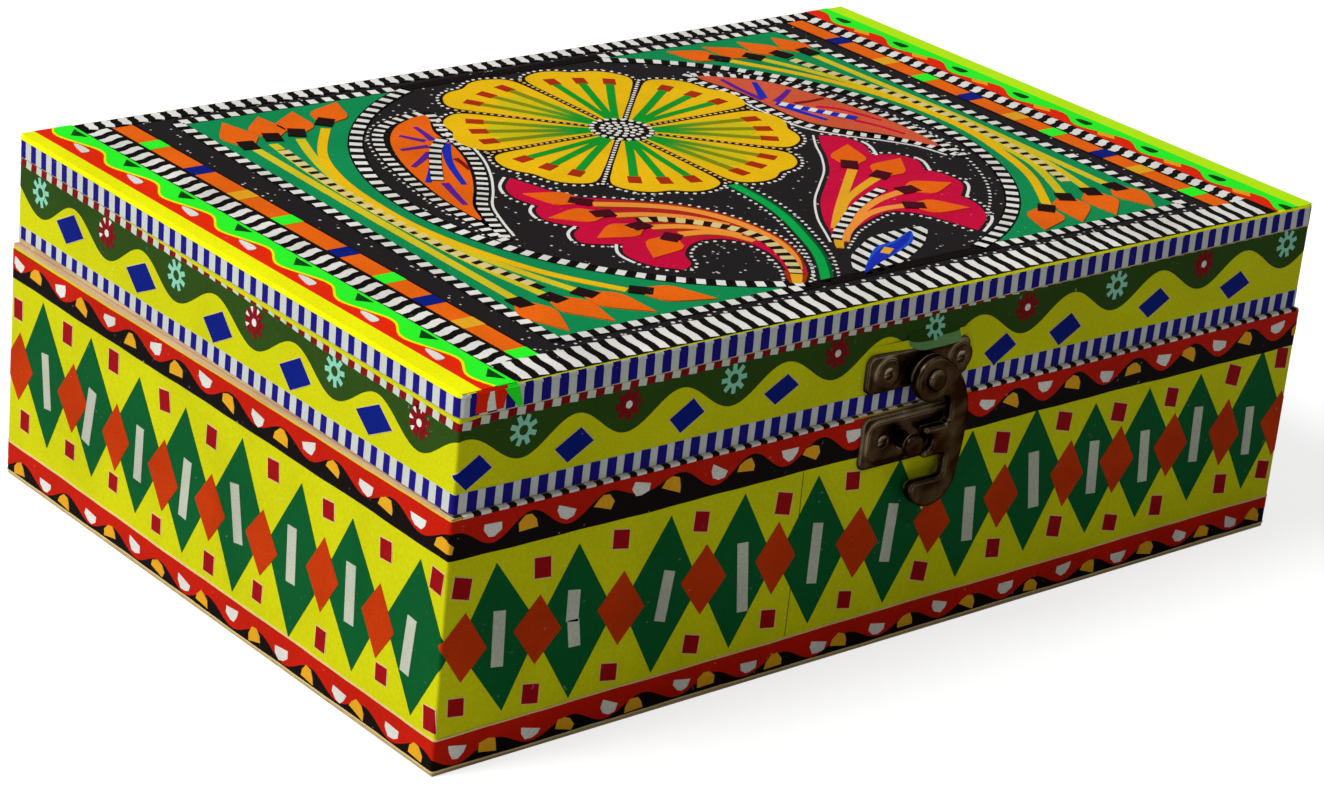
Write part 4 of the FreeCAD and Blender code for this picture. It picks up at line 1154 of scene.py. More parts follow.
class STORAGEBOX_OT_stripe_tapes(bpy.types.Operator):
    """Lay the blue and white striped tapes on the lid's lower edge and on the board's edge"""

    bl_idname = "storage_box.stripe_tapes"
    bl_label = "Striped Tapes"

    LOWER_CROWN = 75.4
    # Side band folded over the front edge: finish, layer and outline, from the front left corner
    FOLDED_BAND = (
        ("scarlet", 2, ((4.2, 95.9), (12.6, 95.9), (13.6, 100.9), (4.4, 100.9))),
        ("white", 3, ((7.6, 96.0), (10.4, 96.0), (9.8, 98.6), (9.4, 100.9), (8.2, 100.9), (7.6, 98.4))),
        ("neon", 4, ((17.0, 95.6), (18.4, 95.6), (16.8, 100.9), (12.6, 100.9), (13.6, 99.4))),
    )

    def execute(self, context):
        ring, edge = lid_ring(), board_ring()

        def crown(run):
            """Upper edge of the lower tape."""
            return self.LOWER_CROWN + ripple(run, 9.0, 0.15)

        lower = Cutting("lid_lower_stripes", "lid", "stripe_tape", "silver", "navy")
        step = self.tape(lower, ring, lid_foot, crown, 1, (2.95, 2.45), -1.5, 0.1)
        lower.done()
        upper = Cutting("board_edge_stripes", "lid", "stripe_tape", "silver", "navy")
        edge_step = self.tape(upper, edge, lambda run: TAPE_LOW.z, lambda run: TAPE_HIGH.z, 0, (2.8, 2.45),
                              1.5, 0.2)
        upper.done("board_edge_tape")
        fold = Cutting("top_band_fold", "lid", "top_film", "scarlet", "white", "neon")
        for tone, layer, outline in self.FOLDED_BAND:
            fold.lay(edge, [(edge.starts[1] + x, y) for x, y in outline], layer, tone)
        fold.done()
        roll = Cutting("board_edging", "lid", "top_film", "lemon", "silver", "navy", "scarlet", "neon")
        rolled_edging(roll, edge, edge_step)
        roll.done()
        dress_node("lid_front_fold", dash_tape(ring, step))
        droop = Cutting("front_fold_edge", "lid", "stripe_tape", "umber", "white")
        drooping_fold(droop, ring, step)
        droop.done()
        return {"FINISHED"}

    @staticmethod
    def tape(cutting, ring, low, high, layer, widths, lean, margin):
        """Tape between two edges, with bars that are wider along the front; gives the pitch of the bars."""
        cutting.band(ring, low, high, layer)
        count = round(ring.total / size("stripe_pitch"))
        step = ring.total / count
        for index in range(count):
            run = (index + 0.5) * step
            wide = widths[0] if ring.starts[1] < run < ring.starts[2] else widths[1]
            foot, crown = low(run), high(run)
            bar = box_outline(run, (foot + crown) / 2, wide, crown - foot - margin, lean)
            cutting.lay(ring, bar, layer + 1, "navy")
        return step


# Folded side band on the roll, from the front left corner: start of the scarlet, start and end of the neon
BAND_START, BAND_NEON, BAND_END = 4.3, 13.6, 16.8
# Place where the stripes stop reaching high on the roll, and half the width of a bar there
FULL_ROLL, ROLLED_BAR_HALF = 105, 1.25


def rolled_edging(cutting, ring, pitch):
    """Film bent over the board's upper edge: yellow, with stripes and the side band rolled over the front."""
    bend = BOARD_HIGH.z - TAPE_HIGH.z
    profile = [(TAPE_HIGH.z - 0.1, FILM + 0.1)]
    for step in range(5):
        angle = math.radians(22.5 * step)
        profile.append((BOARD_HIGH.z - bend + (bend + 0.38) * math.sin(angle),
                        FILM + 0.1 - (bend + FILM) * (1 - math.cos(angle))))
    front, right = ring.starts[1], ring.starts[2]
    stripes = [(index + 0.5) * pitch for index in range(math.ceil(front / pitch), math.floor(right / pitch))]
    runs = sorted(set(ring.columns(12)) | {front + place for place in (BAND_START, BAND_NEON, BAND_END)}
                  | {run + side * ROLLED_BAR_HALF for run in stripes for side in (-1, 1)})

    def tone(run, step):
        """Finish at one place and one step of the bend."""
        if front + BAND_START < run < front + BAND_END:
            return "scarlet" if run < front + BAND_NEON else "neon"
        if front < run < right and step < (3 if run < front + FULL_ROLL else 2):
            return "navy" if any(abs(run - place) < ROLLED_BAR_HALF for place in stripes) else "silver"
        return "lemon"

    start, count = len(cutting.points), len(profile)
    for run in runs:
        place = min(run, ring.total - 1e-6)
        cutting.points += [ring.at(place, rise, height) * MM for rise, height in profile]
    for index, (first, last) in enumerate(zip(runs, runs[1:])):
        for step in range(count - 1):
            here, there = start + index * count + step, start + (index + 1) * count + step
            cutting.face((here, there, there + 1, here + 1), tone((first + last) / 2, step))


# Dashes on the turned-under tape: their lag behind the bars above, and the pale share of their pitch
DASH_LAG, DASH_SHARE = 1.1, 0.57
# Free edge of that tape: its distance from the wall film, and how far it hangs below the fold
DROOP_STAND_OFF, DROOP = 0.25, 0.75


def drooping_fold(cutting, ring, step):
    """Free edge of the turned-under front tape, which droops over the rim on both sides of the latch."""
    fold_low, fold_high = node_box("lid_front_fold")
    plate_low, plate_high = node_box("keeper_plate")
    out = WRAP_LOW.y - DROOP_STAND_OFF
    crown = fold_high.z + 0.03
    profile = ((fold_low.y + 0.1, crown), (fold_low.y - 0.05, crown), (out, fold_high.z - 0.12),
               (out - 0.03, fold_high.z - DROOP))
    half, count = DASH_SHARE * step / 2, len(profile)
    for index in range(math.ceil(ring.starts[1] / step), math.floor(ring.starts[2] / step)):
        middle = index * step + DASH_LAG - ring.starts[1] - LID_WIDTH / 2
        for left, right, tone in ((middle - half, middle + half, "white"),
                                  (middle + half, middle + step - half, "umber")):
            at_latch = right > plate_low.x - 1 and left < plate_high.x + 1
            if left < fold_low.x or right > fold_high.x or at_latch:
                continue
            start = len(cutting.points)
            for x in (left, right):
                cutting.points += [Vector((x, y, z)) * MM for y, z in profile]
            for row in range(start, start + count - 1):
                cutting.face((row, row + 1, row + count + 1, row + count), tone)


def dash_tape(ring, step):
    """Pale and dark dashes along the front, for the tape that is turned under the lid."""
    material = bpy.data.materials.new("tape_dashes")
    material.use_nodes = True
    tree = material.node_tree
    where = surface_place(tree)
    across = add_node(tree, "ShaderNodeSeparateXYZ", {0: where}).outputs["X"]
    first = (1 - DASH_SHARE / 2) * step - DASH_LAG + ring.starts[1] + LID_WIDTH / 2
    steps = math_node(tree, "DIVIDE", math_node(tree, "ADD", across, first * MM), step * MM)
    share = math_node(tree, "FRACT", steps)
    pale = math_node(tree, "GREATER_THAN", share, 1 - DASH_SHARE)
    worn = noise(tree, where, 900, 3)
    mixed = blend_colour(tree, math_node(tree, "MULTIPLY", pale, spread(tree, worn, 0.3, 0.6, 0.75, 1.0)),
                         tint("umber"), tint("white"))
    shader = tree.nodes["Principled BSDF"]
    tree.links.new(mixed, shader.inputs["Base Color"])
    tree.links.new(spread(tree, worn, 0.3, 0.7, 0.35, 0.55), shader.inputs["Roughness"])
    return material


class STORAGEBOX_OT_top_bands(bpy.types.Operator):
    """Lay the wavy side bands, the rails and the black and white stripes round the top"""

    bl_idname = "storage_box.top_bands"
    bl_label = "Top Bands"

    PERIOD, FIRST_BULGE = 136.5, 32.5
    LEFT_SQUARES = (("neon", (115, 440, 672, 950)), ("blue", (228, 570, 757)), ("amber", (335, 840)))
    RIGHT_SQUARES = (("neon", (340, 620, 905)), ("blue", (140, 440, 725)), ("amber", (250, 540, 800)))
    # Middle and squares of each rail; middle and width of the stripes at the sides and across the top
    RAILS = ((139, LEFT_SQUARES), (1394, RIGHT_SQUARES))
    SIDE_STRIPES, CROSS_STRIPES = ((98, 40), (1430, 32)), ((991, 56), (14, 28))
    # Ends of the side bands, middles of their wavy edges, and lag of the right one's waves
    BACK, FRONT = -4, 1020
    LEFT_WAVE, RIGHT_WAVE, RIGHT_LAG = 47.5, 1467, 40

    def execute(self, context):
        top = top_sheet()
        dress_node("top_film", glitter())
        bands = Cutting("top_side_bands", "lid", "top_film", "lemon", "scarlet", "neon", "dark_green",
                        "white", "amber", "lime")
        self.left_band(bands, top)
        self.right_band(bands, top)
        bands.done()
        rails = Cutting("top_rails", "lid", "top_film", "umber", "orange", "neon", "blue", "amber")
        for middle, squares in self.RAILS:
            rails.lay(top, box_outline(middle, 502, 41, 944), 1)
            rails.lay(top, box_outline(middle, 502, 32, 940), 2, "orange")
            for tone, places in squares:
                for place in places:
                    rails.lay(top, box_outline(middle, place, 33, 29), 3, tone)
        rails.done()
        stripes = Cutting("top_stripes", "lid", "top_film", "black", "white")
        pitch = size("dash_pitch") * Top.PER_MM
        for middle, wide in self.SIDE_STRIPES:
            stripes.lay(top, box_outline(middle, 496, wide, 940), 1)
            for index in range(35):
                y = 40 + index * pitch
                start, end = (middle - wide / 2 + 2, y + 5), (middle + wide / 2 - 2, y - 5)
                stripes.lay(top, self.bent_stripe(start, end, 12.8), 2, "white")
        for middle, deep in self.CROSS_STRIPES:
            stripes.lay(top, box_outline(764, middle, 1366, deep), 3)
            for index in range(50):
                x = 99 + index * pitch
                start, end = (x - 4, middle + deep / 2 - 1), (x + 4, middle - deep / 2 + 1)
                stripes.lay(top, self.bent_stripe(start, end, 13.4), 4, "white")
        stripes.done()
        return {"FINISHED"}

    @staticmethod
    def bent_stripe(first, last, width):
        """Stripe with a slight double bend."""
        start, end = Vector(first), Vector(last)
        run = end - start
        side = Vector((-run.y, run.x)).normalized()
        path = [start, start + run * 0.3 + side * 1.6, start + run * 0.7 - side * 1.6, end]
        return ribbon([tuple(point) for point in path], width)

    def wave(self, y):
        """Place of the edge between red and neon, from -1 at a bulge of the neon to 1."""
        turn = 2 * math.pi * (y - self.FIRST_BULGE) / self.PERIOD
        return -math.cos(turn + 0.32 * math.cos(turn))

    def left_band(self, bands, top):
        """Yellow, red with white drops and neon with dark cuts, from the left edge inward."""
        bands.lay(top, [(-4, self.BACK), (19, self.BACK), (28, self.FRONT), (-4, self.FRONT)], 1)
        depths = [index * 8 + self.BACK for index in range(129)]
        edge = [(self.LEFT_WAVE + 11 * self.wave(y), y) for y in depths]
        red = [(18, self.BACK)] + [(x + 4, y) for x, y in edge] + [(26, self.FRONT)]
        bands.lay(top, red, 2, "scarlet")
        bands.lay(top, edge + [(77, self.FRONT), (77, self.BACK)], 3, "neon")
        bands.lay(top, ribbon(edge, 3.2), 4)
        for index in range(8):
            bulge = self.FIRST_BULGE + index * self.PERIOD
            bands.lay(top, [(54, bulge + 2), (71, bulge - 17), (71, bulge + 18)], 5, "dark_green")
            drop = [(32, bulge + 70), (34, bulge + 52), (40, bulge + 34), (45, bulge + 50), (43, bulge + 70)]
            if bulge < 960:
                bands.lay(top, spline(drop, 4, True), 5, "white")

    def right_band(self, bands, top):
        """Red with amber cuts, neon with dark cuts and lime, out to the right edge."""
        lime = [(1486, self.BACK), (1528, self.BACK), (1528, self.FRONT), (1486, self.FRONT)]
        bands.lay(top, lime, 1, "lime")
        depths = [index * 6 + self.BACK for index in range(171)]
        edge = [(self.RIGHT_WAVE + 12 * self.wave(y - self.RIGHT_LAG), y) for y in depths]
        bands.lay(top, [(1446, self.BACK)] + edge + [(1446, self.FRONT)], 2, "scarlet")
        neon = [(x - 2, y) for x, y in edge] + [(1494, self.FRONT), (1494, self.BACK)]
        bands.lay(top, neon, 3, "neon")
        for index in range(8):
            bulge = self.FIRST_BULGE + self.RIGHT_LAG + index * self.PERIOD
            cut = [(1466, bulge - 2), (1470, bulge - 26), (1478, bulge - 22), (1480, bulge)]
            bands.lay(top, spline(cut, 4, True), 5, "dark_green")
            bands.lay(top, lozenge(1460, bulge + 48, 18, 36, 8), 5, "amber")


# Roundel on the top: its middle and the radius of its dashed ring
CENTRE = Vector((782, 491))
RING_RADIUS = 466


class STORAGEBOX_OT_top_field(bpy.types.Operator):
    """Lay the green field, its dashed frame, the dashed roundel and the corner sprays"""

    bl_idname = "storage_box.top_field"
    bl_label = "Top Field and Sprays"

    CORNERS = ((216, 50), (1338, 50), (1341, 938), (204, 937))
    OPEN_HALF = 182
    # Side of the roundel, and the outer edge of the field there at the back and at the front
    FIELD_SIDES = ((-1, 224, 212), (1, 1330, 1333))
    LEFT_STEMS = (
        ("straw", ((257, 190), (251, 350), (247, 500), (241, 806))),
        ("straw", ((291, 180), (274, 300), (266, 420), (265, 560), (271, 690), (285, 812))),
        ("striped", ((289, 205), (276, 300), (268, 420), (266, 540), (271, 650), (288, 750), (296, 788))),
        ("straw", ((338, 178), (311, 250), (285, 350), (275, 450), (275, 560), (287, 650), (312, 750),
                   (332, 816))),
        ("gold", ((396, 156), (327, 250), (292, 350), (279, 460), (281, 550), (300, 650), (335, 750),
                  (392, 842))),
    )
    RIGHT_STEMS = (
        ("straw", ((1303, 184), (1307, 400), (1309, 500), (1304, 640), (1298, 824))),
        ("straw", ((1302, 570), (1294, 660), (1278, 745), (1256, 824))),
        ("straw", ((1210, 162), (1247, 250), (1273, 350), (1284, 450), (1284, 530), (1268, 680),
                   (1244, 750), (1202, 830))),
        ("striped", ((1254, 180), (1275, 300), (1292, 400), (1298, 500), (1290, 600), (1276, 700),
                     (1251, 786))),
        ("gold", ((1158, 150), (1220, 250), (1260, 350), (1279, 450), (1278, 550), (1255, 650),
                  (1217, 750), (1150, 850))),
    )
    HEADS = (
        ((255, 172), (275, 75)), ((305, 157), (335, 75)), ((347, 155), (393, 76)), ((410, 133), (476, 67)),
        ((238, 816), (237, 920)), ((287, 822), (310, 920)), ((335, 827), (378, 920)),
        ((407, 852), (480, 920)), ((1147, 134), (1092, 73)), ((1205, 149), (1160, 78)),
        ((1255, 157), (1230, 80)), ((1305, 163), (1298, 84)), ((1137, 862), (1072, 925)),
        ((1197, 840), (1147, 925)), ((1250, 840), (1215, 925)), ((1300, 840), (1292, 927)))

    def execute(self, context):
        top = top_sheet()
        field = Cutting("top_green_field", "lid", "top_film", "field")
        back, front = self.CORNERS[0][1] + 9, self.CORNERS[2][1] - 9
        for side, far, near in self.FIELD_SIDES:
            arc = []
            for step in range(61):
                y = back + (front - back) * step / 60
                arc.append((CENTRE.x + side * math.sqrt((RING_RADIUS + 10) ** 2 - (y - CENTRE.y) ** 2), y))
            field.lay(top, [(far, back)] + arc + [(near, front)], 1)
        field.done()
        self.dashes(top, back, front)
        sprays = Cutting("top_corner_sprays", "lid", "top_film", "straw", "gold", "cream", "umber", "orange")
        for stems in (self.LEFT_STEMS, self.RIGHT_STEMS):
            for index, (kind, points) in enumerate(stems):
                path = spline(points, 8)
                sprays.lay(top, ribbon(path, 14), 2 + 0.3 * index, "umber" if kind == "striped" else kind)
                for x, y, along in spaced(path, 25) if kind == "striped" else ():
                    sprays.lay(top, box_outline(x, y, 15, 15.5, along), 4.5, "cream")
        for collar, tip in self.HEADS:
            tulip(sprays, top, collar, tip, 54, "orange", "umber")
        sprays.done()
        return {"FINISHED"}

    def dashes(self, top, back, front):
        """White dashes of the roundel and of the frame, which is open where they meet; dots before it."""
        dashes = Cutting("top_dashes", "lid", "top_film", "black", "white", "silver")
        for start, end in zip(self.CORNERS, self.CORNERS[1:] + self.CORNERS[:1]):
            dashes.lay(top, ribbon([start, end], 19), 2)
            for x, y, along in spaced([start, end], size("dash_pitch") * Top.PER_MM):
                if abs(x - CENTRE.x) > self.OPEN_HALF:
                    dashes.lay(top, box_outline(x, y, 13.5, 17, along + 8), 3, "white")
        ring = [polar(CENTRE, RING_RADIUS, 2 * step) for step in range(181)]
        for x, y, along in spaced(ring, 26.2):
            if back < y < front:
                dashes.lay(top, box_outline(x, y, 27, 23, along), 2)
                dashes.lay(top, box_outline(x, y, 12.5, 18, along), 3, "white")
        chance = random.Random(8)
        for index in range(44):
            dashes.lay(top, disc(190 + index * 27 + chance.uniform(-5, 5), 957 + chance.uniform(-3, 3),
                                 chance.uniform(2.0, 3.4), 6), 1, "silver")
        dashes.done()


def tulip(cutting, top, collar, tip, width, head_tone, collar_tone):
    """Pointed head with straight sides that opens from a dark collar."""
    start, end = Vector(collar), Vector(tip)
    run = end - start
    side = Vector((-run.y, run.x)).normalized() * width / 2
    half = ((0.06, 0.5), (0.28, 0.96), (0.4, 0.98), (0.52, 0.84), (1, 0))
    left, right = [[tuple(start + run * along + side * hand * out) for along, out in half]
                   for hand in (-1, 1)]
    cutting.lay(top, left + right[-2::-1], 5, head_tone)
    along = math.degrees(math.atan2(run.y, run.x))
    cutting.lay(top, box_outline(*start, 32, 25, along), 6, collar_tone)


# Middle of the flower
FLOWER = Vector((788, 339))


def polar(centre, radius, degrees):
    """Point at a distance and direction from a centre."""
    angle = math.radians(degrees)
    return (centre.x + radius * math.cos(angle), centre.y + radius * math.sin(angle))


def beads(cutting, surface, path, layer, tone, pitch_share=1.0, radius_share=1.0):
    """Row of beads along a path on the top."""
    radius = size("bead_radius") * Top.PER_MM * radius_share
    for x, y, along in spaced(path, size("bead_pitch") * Top.PER_MM * pitch_share):
        cutting.lay(surface, disc(x, y, radius, 6), layer, tone)


class STORAGEBOX_OT_top_flower(bpy.types.Operator):
    """Lay the round flower with its petals, stamens, beads and stem"""

    bl_idname = "storage_box.top_flower"
    bl_label = "Flower"

    STEM = ((788, 590), (783, 661), (769, 723), (745, 785), (717, 847), (688, 893), (654, 938))
    PETAL = ((44, -20.5), (110, -20.6), (185, -20.6), (230, -20.4), (252, -18.2), (266, -12), (268, -6),
             (261, 0), (268, 6), (266, 12), (252, 18.2), (230, 20.4), (185, 20.6), (110, 20.6), (44, 20.5))
    HEART = ((50, -10), (100, -14.5), (170, -15), (205, 0), (170, 15), (100, 14.5), (50, 10))
    # Reach of each petal, and whether its stamens fade towards their ends
    PETALS = ((0.98, True), (0.99, True), (0.965, False), (0.97, False), (0.965, True), (1.03, True),
              (1.01, False), (1.01, False))
    # Layer of each stamen of a petal and its turn from the petal's middle; rings of dots in the flower's eye
    STAMENS = ((3.6, -11.5), (3.8, 0), (4.0, 11.5))
    EYE_RINGS = ((44, 22), (29, 15), (19, 10), (9, 5))

    def execute(self, context):
        top = top_sheet()
        centre = top.at(*FLOWER, 0)
        petals = Cutting("flower_petals", "lid", "top_film", "gold", "leaf", "rust",
                         heart=faded_film("leaf", "yolk", centre, 9, 27),
                         stamen=faded_film("leaf", "moss", centre, 14, 31))
        trim = Cutting("flower_beads", "lid", "top_film", white=bead_film("white"),
                       honey=bead_film("honey"), umber=film("umber"))
        for index, (reach, faded) in enumerate(self.PETALS):
            middle = 22.5 + index * 360 / len(self.PETALS)
            outline = spline([polar(FLOWER, radius * reach, middle + turn) for radius, turn in self.PETAL], 3)
            petals.lay(top, outline, 2.6)
            if faded:
                heart = [polar(FLOWER, radius, middle + turn) for radius, turn in self.HEART]
                petals.lay(top, spline(heart, 3), 3, "heart")
            for layer, turn in self.STAMENS:
                path = [polar(FLOWER, 48, middle + turn * 0.45), polar(FLOWER, 120, middle + turn * 0.85),
                        polar(FLOWER, 209 * reach, middle + turn)]
                petals.lay(top, ribbon(path, 11, 13), layer, "stamen" if faded else "leaf")
                x, y = polar(FLOWER, 221 * reach, middle + turn)
                petals.lay(top, box_outline(x, y, 26, 19, middle + turn), 4.4, "rust")
            trim.lay(top, ribbon(outline[8:-8], 11), 1, "umber")
            beads(trim, top, beside(outline[8:-8], -8), 1.5, "white", 1.0, 1.1)
            seam = [polar(FLOWER, 46, middle + 22.5), polar(FLOWER, 248, middle + 22.5)]
            trim.lay(top, ribbon(seam, 10), 3, "umber")
            beads(trim, top, seam, 4, "white" if index % 4 == 2 else "honey", 0.85, 1.15)
        petals.done()
        trim.lay(top, disc(*FLOWER, 47, 28), 6, "umber")
        for radius, count in self.EYE_RINGS:
            for index in range(count):
                x, y = polar(FLOWER, radius, 360 * index / count)
                trim.lay(top, disc(x, y, 4.2, 6), 7)
        stem = spline(self.STEM, 6)
        for distance in (-17, 17):
            beads(trim, top, beside(stem, distance), 1.5, "white", 1.1)
        trim.done()
        stalk = Cutting("flower_stem", "lid", "top_film", "stem", "green")
        stalk.lay(top, ribbon(stem, 21, 19), 1, "green")
        stalk.lay(top, ribbon(beside(stem, 2), 15, 13), 2)
        stalk.done()
        return {"FINISHED"}


class STORAGEBOX_OT_top_leaves(bpy.types.Operator):
    """Lay the crimson flame leaves, the veined leaves and the eye leaf"""

    bl_idname = "storage_box.top_leaves"
    bl_label = "Leaves"

    # Each crimson leaf: lobes of the outer edge, then the rest of the outline back to the tip
    LEFT_LOBES = (((513, 434), (484, 462), (471, 500), (480, 541)),
                  ((480, 541), (462, 560), (457, 594), (482, 632)),
                  ((482, 632), (456, 650), (449, 682), (492, 708)),
                  ((492, 708), (472, 740), (478, 786), (508, 818)))
    LEFT_BACK = ((508, 818), (530, 806), (545, 775), (572, 752), (601, 743), (632, 752), (652, 775),
                 (656, 800), (653, 828), (642, 860), (626, 890), (604, 924), (618, 928), (658, 892),
                 (684, 846), (700, 800), (705, 757), (700, 707), (684, 657), (659, 621), (623, 589),
                 (580, 557), (551, 536), (534, 504), (522, 464), (513, 434))
    RIGHT_LOBES = (((1046, 480), (1074, 500), (1081, 538), (1060, 581)),
                   ((1060, 581), (1092, 592), (1108, 624), (1088, 663)),
                   ((1088, 663), (1103, 688), (1099, 730), (1060, 768)),
                   ((1060, 768), (1057, 806), (1031, 850), (984, 882)))
    RIGHT_BACK = ((984, 882), (974, 850), (962, 812), (944, 785), (920, 771), (893, 776), (855, 790),
                  (817, 808), (786, 830), (758, 848), (783, 802), (814, 750), (858, 695), (907, 650),
                  (955, 606), (993, 558), (1018, 518), (1046, 480))
    LEFT_HEADS = (((543, 553), (489, 494)), ((541, 605), (462, 586)), ((556, 664), (474, 676)),
                  ((568, 718), (497, 768)))
    RIGHT_HEADS = (((1000, 598), (1058, 530)), ((1012, 652), (1090, 610)), ((1005, 716), (1086, 722)),
                   ((968, 769), (1036, 811)))
    LEFT_STALKS = (
        ("peach", ((553, 568), (616, 604), (660, 643), (686, 694), (695, 745), (692, 798), (674, 848),
                   (650, 884))),
        ("peach", ((553, 616), (598, 634), (641, 667), (674, 714))),
        ("peach", ((569, 674), (609, 690), (640, 717), (664, 752))),
        ("peach", ((588, 713), (623, 722), (650, 744), (664, 778))),
        ("striped", ((568, 646), (601, 657), (634, 684), (662, 716), (678, 750), (680, 786), (672, 822),
                     (655, 864), (634, 898))),
        ("amber", ((640, 890), (624, 910), (612, 924))),
    )
    RIGHT_STALKS = (
        ("amber", ((990, 616), (906, 690), (848, 742), (800, 788))),
        ("amber", ((998, 658), (941, 684), (886, 716), (838, 760))),
        ("peach", ((990, 718), (941, 728), (893, 749), (840, 780))),
        ("peach", ((956, 764), (920, 760), (879, 768), (832, 792), (802, 813), (780, 834))),
        ("striped", ((975, 697), (924, 718), (872, 746), (831, 776), (796, 801), (772, 824))),
        ("amber", ((782, 818), (766, 836), (756, 850))),
    )
    # Each crimson leaf: its parts, the side that its lobes face, the film of the bars on its striped stalk,
    # the stalks' width, the bars' pitch and length, and how many points of the inner edge the beads follow
    FLAMES = (
        (LEFT_LOBES, LEFT_BACK, LEFT_HEADS, LEFT_STALKS, 1, "cream", 18, 24.5, 13.3, len(LEFT_BACK)),
        (RIGHT_LOBES, RIGHT_BACK, RIGHT_HEADS, RIGHT_STALKS, -1, "white", 15, 24, 12, 9),
    )
    # Each veined leaf: its outline, the middle of its dashed border, its rib and its veins
    LEFT_VEINED = (
        ((562, 168), (510, 181), (470, 212), (438, 258), (410, 325), (390, 400), (377, 470), (374, 552),
         (398, 502), (438, 450), (470, 402), (500, 346), (520, 290), (530, 232)),
        ((566, 158), (506, 168), (460, 196), (425, 246), (398, 315), (379, 392), (366, 465), (362, 540),
         (358, 628), (384, 566), (410, 508), (448, 458), (482, 408), (512, 352), (532, 294), (544, 236),
         (564, 188)),
        ((524, 262), (490, 292), (452, 342), (412, 402)),
        (("cobalt", ((516, 280), (472, 348), (437, 430))), ("cobalt", ((446, 348), (424, 372), (396, 402))),
         ("violet", ((506, 262), (512, 236), (517, 204))), ("violet", ((494, 260), (484, 244), (474, 226))),
         ("violet", ((486, 280), (464, 278), (440, 277))), ("violet", ((472, 302), (444, 322), (414, 342))),
         ("maroon", ((490, 338), (486, 362), (480, 384))), ("violet", ((416, 414), (402, 456), (390, 496)))),
    )
    RIGHT_VEINED = (
        ((1056, 190), (1110, 222), (1146, 262), (1172, 335), (1189, 420), (1195, 490), (1184, 592),
         (1148, 524), (1104, 474), (1074, 424), (1069, 350), (1070, 280)),
        ((1048, 178), (1114, 210), (1156, 254), (1183, 330), (1201, 416), (1206, 490), (1198, 570),
         (1187, 640), (1168, 578), (1136, 532), (1092, 484), (1061, 430), (1056, 350), (1057, 280),
         (1044, 216)),
        ((1086, 340), (1118, 392), (1152, 446)),
        (("violet", ((1078, 318), (1077, 270), (1082, 216))),
         ("cobalt", ((1084, 312), (1102, 282), (1121, 248))),
         ("violet", ((1090, 334), (1118, 318), (1148, 298))),
         ("cobalt", ((1086, 350), (1094, 390), (1106, 432))),
         ("maroon", ((1112, 352), (1140, 354), (1170, 352))),
         ("rose", ((1132, 378), (1160, 404), (1182, 468))),
         ("rose", ((1144, 452), (1160, 486), (1172, 530)))),
    )
    VEIN_WIDTHS = {"cobalt": 14, "violet": 12, "maroon": 9, "rose": 9}
    EYE = ((714, 936), (742, 886), (786, 856), (836, 834), (921, 836), (893, 873), (847, 904), (772, 936))
    EYE_LENS = ((722, 936), (768, 898), (806, 876), (842, 868), (890, 844), (864, 868), (838, 883),
                (800, 902), (764, 916))
    EYE_EDGE = ((722, 936), (767, 895), (806, 868), (843, 862), (892, 842), (869, 872), (839, 888),
                (800, 904), (764, 917))

    def execute(self, context):
        top = top_sheet()
        trim = Cutting("leaf_beads", "lid", "top_film", white=bead_film("white"))
        self.flame_leaves(top, trim)
        veined = Cutting("veined_leaves", "lid", "top_film", "orange", "coral", "black", "white", "cobalt",
                         "violet", "maroon", "rose")
        self.veined_leaf(veined, trim, top, self.LEFT_VEINED, "orange", "black")
        self.veined_leaf(veined, trim, top, self.RIGHT_VEINED, "coral", "cobalt")
        veined.done()
        self.eye_leaf(top)
        chance = random.Random(21)
        for index in range(46):
            spot = Vector((chance.uniform(345, 1210), chance.uniform(80, 925)))
            if (spot - CENTRE).length < RING_RADIUS - 40:
                trim.lay(top, disc(*spot, chance.uniform(1.4, 3.0), 6), 0.6)
        inner_arc = [polar(CENTRE, RING_RADIUS - 32, 3 * step - 12) for step in range(26)]
        beads(trim, top, inner_arc, 0.6, "white", 1.1)
        trim.done()
        return {"FINISHED"}

    def flame_leaves(self, top, trim):
        """Crimson leaves with striped and plain stalks; white line and beads run round each lobe."""
        leaves = Cutting("flame_leaves", "lid", "top_film", "rose", "orange", "amber", "peach", "rust",
                         "umber", "cream", "white", "wine")
        for lobes, back, heads, stalks, outward, pale, wide, pitch, bar, tail in self.FLAMES:
            outline = []
            for lobe in lobes:
                edge = spline(lobe, 5)
                outline += edge[:-1]
                beside_edge = beside(edge, 8 * outward)
                line, row = beside_edge[:9], beside_edge[8:]
                if outward < 0:
                    line, row = beside_edge[9:], beside_edge[:10]
                trim.lay(top, ribbon(line, 4.5), 1.6)
                beads(trim, top, row, 1.5, "white", 1.05)
            rest = spline(back, 4)
            outline += rest[:-1]
            beads(trim, top, beside(rest[:4 * tail], 8 * outward), 1.5, "white", 1.05)
            if rest[4 * tail:]:
                trim.lay(top, ribbon(beside(rest[4 * tail + 2:], 8 * outward), 3.2), 1.6)
            leaves.lay(top, outline, 2)
            for index, (kind, points) in enumerate(stalks):
                path = spline(points, 6)
                if kind == "striped":
                    leaves.lay(top, ribbon(path, wide), 4.2, "umber")
                    for x, y, along in spaced(path, pitch):
                        leaves.lay(top, box_outline(x, y, bar, wide, along), 4.5, pale)
                else:
                    if outward > 0:
                        leaves.lay(top, ribbon(path, 34, 18), 2.3 + 0.1 * index, "rust")
                    leaves.lay(top, ribbon(path, wide, wide * 0.66), 3 + 0.15 * index, kind)
            for collar, tip in heads:
                tulip(leaves, top, collar, tip, 52, "orange", "wine")
        leaves.done()

